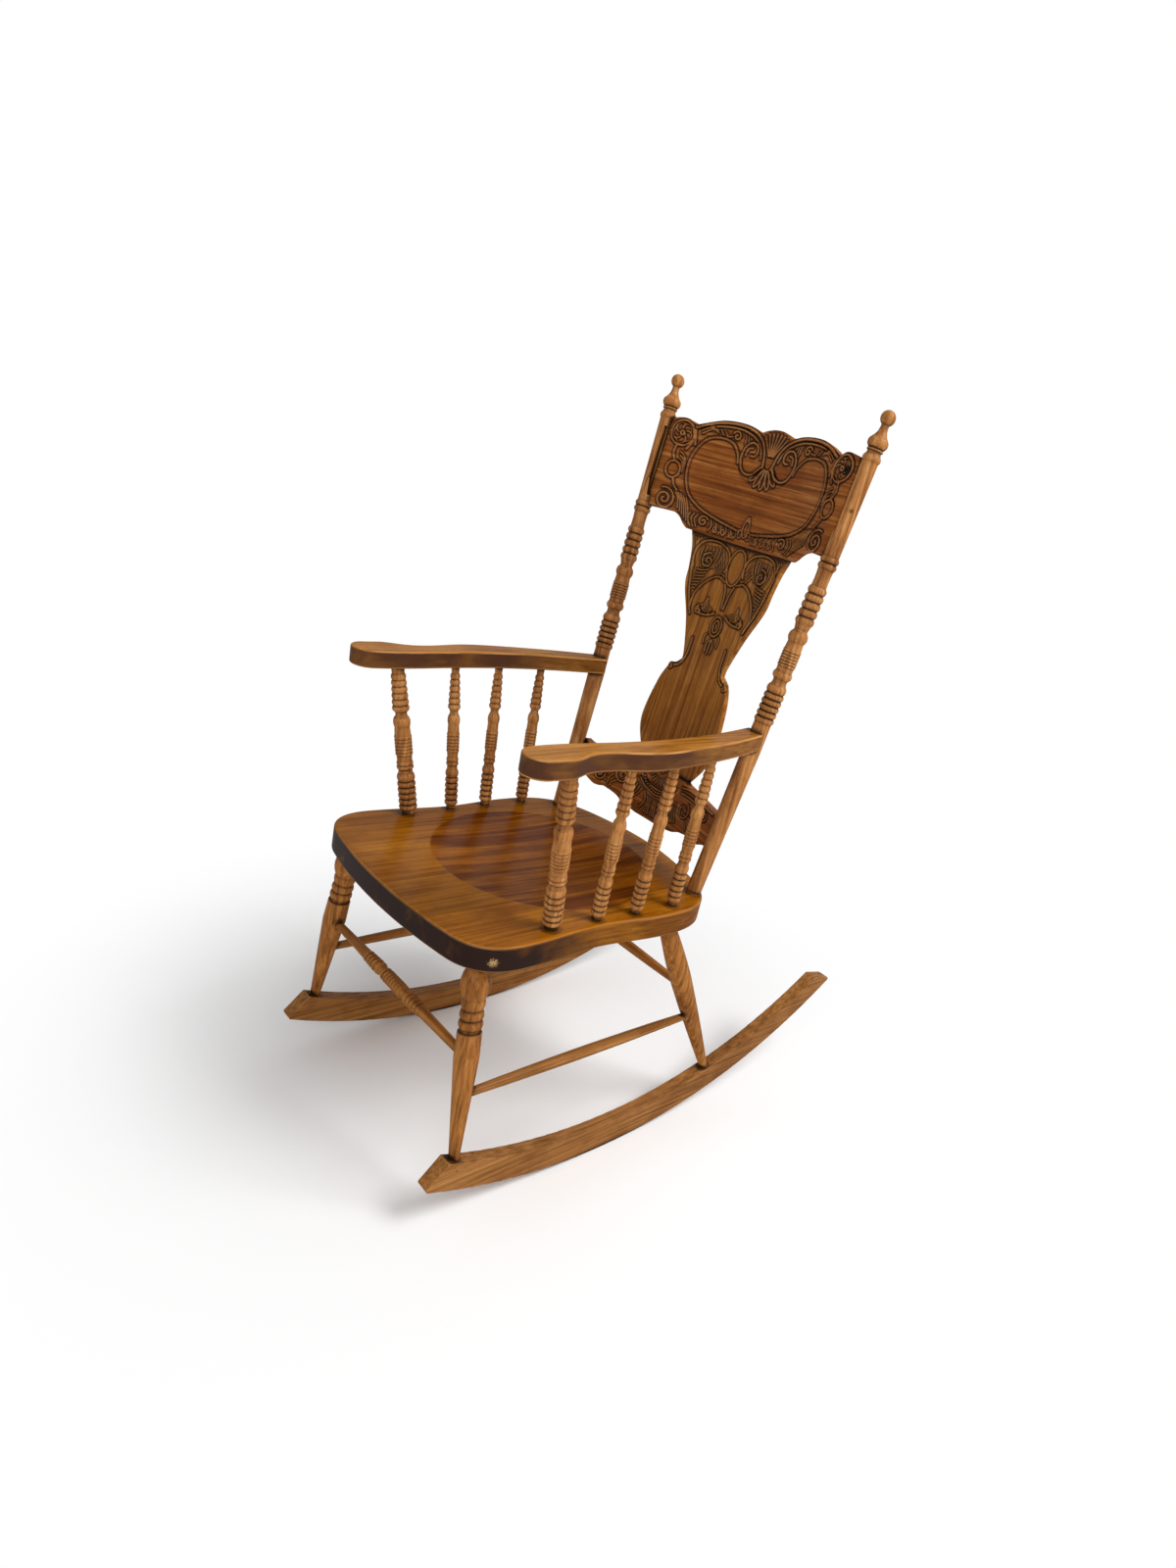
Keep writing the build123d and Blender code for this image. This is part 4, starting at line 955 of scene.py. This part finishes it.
def splat_relief(x, s):
    """Height and mark of the splat's carving."""
    mouldings = both([
        field, arch,
        curve([(86, 470), (79, 440), (72, 418), (60, 390)]), spiral((58, 478), 13, 100, -1.5, 0.1),
        curve([(10, 452), (5, 438), (2, 414)]), spiral((46, 400), 6, 80, -1.2, 0.3),
        curve([(12, 404), (24, 398), (36, 396), (42, 396)]),
        curve([(38, 356), (38, 340), (39, 325), (46, 309), (56, 303)]), spiral((62, 300), 5, 90, -1.0, 0.3),
    ]) + [ring((0, 481), 17, 29), ring((0, 385), 11, 16), ring((0, 385), 6, 10)]
    reeds = feather([(74, 498), (74, 482), (68, 466)], [(34, 503), (35, 488), (44, 470)], 7)
    reeds += feather([(52, 466), (60, 462), (74, 460)], [(66, 430), (70, 431), (73, 428)], 7)
    reeds += feather([(32, 496), (28, 484), (24, 474)], [(40, 478), (34, 470), (26, 460)], 4)
    reeds += feather([(34, 424), (30, 412), (20, 408)], [(40, 408), (34, 402), (24, 400)], 4)
    reeds += feather([(34, 424), (38, 412), (50, 408)], [(34, 410), (38, 404), (44, 402)], 2)
    reeds += feather([(94, 508), (90, 500), (88, 490)], [(82, 510), (86, 504), (86, 498)], 3)
    tail = [curve([(0, 364), (0, 354), (0, 340)])]
    tail += both([curve([(2, 362), (7, 354), (6, 342)]), curve([(10, 372), (16, 366), (15, 354)])])
    carved = np.clip((s - GROUND_LOW) / GROUND_FADE, 0, 1)
    plain = inside(x, s, ring((0, 481), 16, 28))
    for side in (1, -1):
        plain |= inside(x * side, s, np.vstack((field, [(40, 398), (12, 410)])))
    ground = np.where(plain, FIELD_HEIGHT, SPLAT_GROUND * carved)
    return pressed(x, s, ground, [(both(reeds) + tail, 1.4, 1.2), (mouldings, 1.9, 1.4)])


splat = carved_board("splat_carved", SPLAT_CELLS, splat_outline, BOW_R + SPLAT_SET_BACK, SPLAT_THICK,
                     splat_relief, splat_wood)
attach(splat, "root")
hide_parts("splat")

# %% [markdown]
# ## Lower back rail
# This rail repeats the crest's themes: half a fan hangs from the splat's foot inside a row of
# beads, and reeded scrolls fill the wings.

# %% Lower back rail's outline
LOWER_THICK = 19.0
LOWER_LOW = 48.0
LOWER_TOP = 138.0
LOWER_END = (74.0, 127.0)   # lower and upper corner of its ends
lower_end = POST_X + SPREAD * sum(LOWER_END) / 2 - SHAFT_R + INTO_POST
lower_floor = np.vstack((
    [(0, LOWER_LOW)],
    curve([(30, LOWER_LOW), (62, LOWER_LOW + 5), (80, LOWER_LOW + 12), (106, LOWER_LOW + 16)]),
    curve([(107, LOWER_LOW + 16), (117, LOWER_LOW + 13), (128, LOWER_LOW + 13), (148, LOWER_LOW + 21)]),
    [(lower_end, LOWER_END[0])],
))
lower_roof = np.vstack((
    [(0, LOWER_TOP)],
    curve([(BOTTOM_W, LOWER_TOP), (BOTTOM_W + 10, LOWER_TOP - 4), (150, LOWER_END[1] - 3),
           (lower_end, LOWER_END[1])]),
))
print("lower rail", round(2 * lower_end, 1), "mm wide")

# %% Lower back rail's carving
LOWER_CELLS = (360, 110)
LOWER_GROUND = -0.6
BEADS = 15
BEADS_TURN = 62             # degrees each side of the middle


def lower_relief(x, s):
    """Height and mark of the lower back rail's carving."""
    fan = rays((0, 136), 8, 26, 200, 340, 11)
    arcs = [curve([(-42, 120), (-34, 110), (-18, 104), (0, 102), (18, 104), (34, 110), (42, 120)]),
            curve([(-40, 108), (-30, 100), (-15, 95), (0, 93), (15, 95), (30, 100), (40, 108)])]
    beads = [ring((37 * math.sin(a), 128 - 30.5 * math.cos(a)), 0.6, 0.6, steps=5)
             for a in np.radians(np.linspace(-BEADS_TURN, BEADS_TURN, BEADS))]
    wings = both([
        spiral((76, 96), 15, 60, -1.4), spiral((120, 82), 11, 160, 1.4), spiral((132, 110), 9, 200, 1.2),
        curve([(56, 128), (78, 131), (100, 129), (124, 124), (150, 121)]),
        curve([(56, 119), (78, 120), (100, 119)]),
        curve([(24, 90), (17, 76), (24, 61)]),
    ])
    reeds = both(feather([(3, 84), (4, 72), (3, 56)], [(14, 84), (10, 72), (13, 56)], 3)
                 + feather([(30, 92), (38, 78), (52, 66)], [(54, 100), (56, 84), (64, 70)], 5)
                 + feather([(84, 84), (92, 78), (96, 70)], [(104, 100), (108, 88), (106, 74)], 3))
    ground = np.full(x.shape, LOWER_GROUND)
    return pressed(x, s, ground, [(fan + reeds, 1.4, 1.1), (arcs + wings, 1.8, 1.4), (beads, 1.7, 1.4)])


lower = carved_board("lower_back_rail_carved", LOWER_CELLS,
                     between_lines(lower_floor, lower_roof, lower_end),
                     BOW_R, LOWER_THICK, lower_relief, lower_wood, lower_end)
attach(lower, "root")
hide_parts("lower_back_rail")

# %% [markdown]
# ## Floor
# A pale floor takes the shadow and fades to plain white away from the chair, so no horizon
# shows. The white is only for rays from the camera and for reflections, so it throws no light
# on the chair.

# %% Floor
FLOOR_SIZE = 40.0
FADE = (0.3, 0.95)          # metres from the chair's middle between which the floor turns white
PAPER = "F6F6F6"
WHITE = "FFFFFF"


def white_where_seen(tree):
    """1 for rays from the camera, and for reflected and refracted ones, and 0 for the light."""
    ray = add(tree, "LightPath")
    seen = add(tree, "Math", {"operation": "MAXIMUM"},
               links={0: ray.outputs["Is Camera Ray"], 1: ray.outputs["Is Glossy Ray"]})
    return add(tree, "Math", {"operation": "MAXIMUM"},
               links={0: seen.outputs["Value"], 1: ray.outputs["Is Transmission Ray"]}).outputs["Value"]


def white_floor():
    """Paper that takes a shadow near the chair and is plain white farther off."""
    material, tree = new_material("white_paper")
    place = add(tree, "TexCoord").outputs["Object"]
    away = add(tree, "VectorMath", {"operation": "LENGTH"}, links={0: place})
    fade = add(tree, "MapRange", SOFT, {"From Min": FADE[0], "From Max": FADE[1]},
               {"Value": away.outputs["Value"]})
    share = add(tree, "Math", TIMES, links={0: fade.outputs["Result"], 1: white_where_seen(tree)})
    paper = add(tree, "BsdfDiffuse", values={"Color": PAPER})
    plain = add(tree, "Emission", values={"Color": WHITE, "Strength": 1.0})
    mixed = add(tree, "MixShader", links={0: share.outputs["Value"], 1: paper.outputs["BSDF"],
                                          2: plain.outputs["Emission"]})
    add(tree, "OutputMaterial", links={"Surface": mixed.outputs["Shader"]})
    return material


bpy.ops.object.select_all(action="DESELECT")
bpy.ops.mesh.primitive_plane_add(size=FLOOR_SIZE)
floor = bpy.context.object
floor.name = "floor"
floor.data.materials.append(white_floor())
print("floor", FLOOR_SIZE, "m")

# %% [markdown]
# ## Lamps and world
# One broad lamp high above the chair's left, a little behind it, throws the shadow forwards and
# to the right. A wider and weaker one fills from the front, a faint one behind keeps the far
# side from going dark, and the world gives even light from all round.

# %% Lamps and world
AIM = Vector((0.0, 0.0, 0.45))
LAMPS = [                   # name, place in metres, size in metres, power in watts
    ("key", (1.7, 0.8, 2.9), 1.5, 78.0),
    ("fill", (2.1, -2.5, 1.6), 2.2, 44.0),
    ("rim", (-2.2, 1.6, 2.2), 1.8, 4.0),
]
WORLD_LEVEL = 0.4
for name, place, size, power in LAMPS:
    lamp_data = bpy.data.lights.new(name, "AREA")
    lamp_data.size = size
    lamp_data.energy = power
    lamp = bpy.data.objects.new(name, lamp_data)
    bpy.context.scene.collection.objects.link(lamp)
    lamp.location = place
    lamp.rotation_euler = (AIM - Vector(place)).to_track_quat("-Z", "Y").to_euler()

world = bpy.data.worlds.new("studio")
world.use_nodes = True
bpy.context.scene.world = world
tree = world.node_tree
tree.nodes.clear()
level = add(tree, "MapRange", values={"To Min": WORLD_LEVEL, "To Max": 1.0},
            links={"Value": white_where_seen(tree)})
sky = add(tree, "Background", values={"Color": WHITE}, links={"Strength": level.outputs["Result"]})
add(tree, "OutputWorld", links={"Surface": sky.outputs["Background"]})
bpy.context.scene.view_settings.view_transform = "Standard"
print("lamps", len(LAMPS))
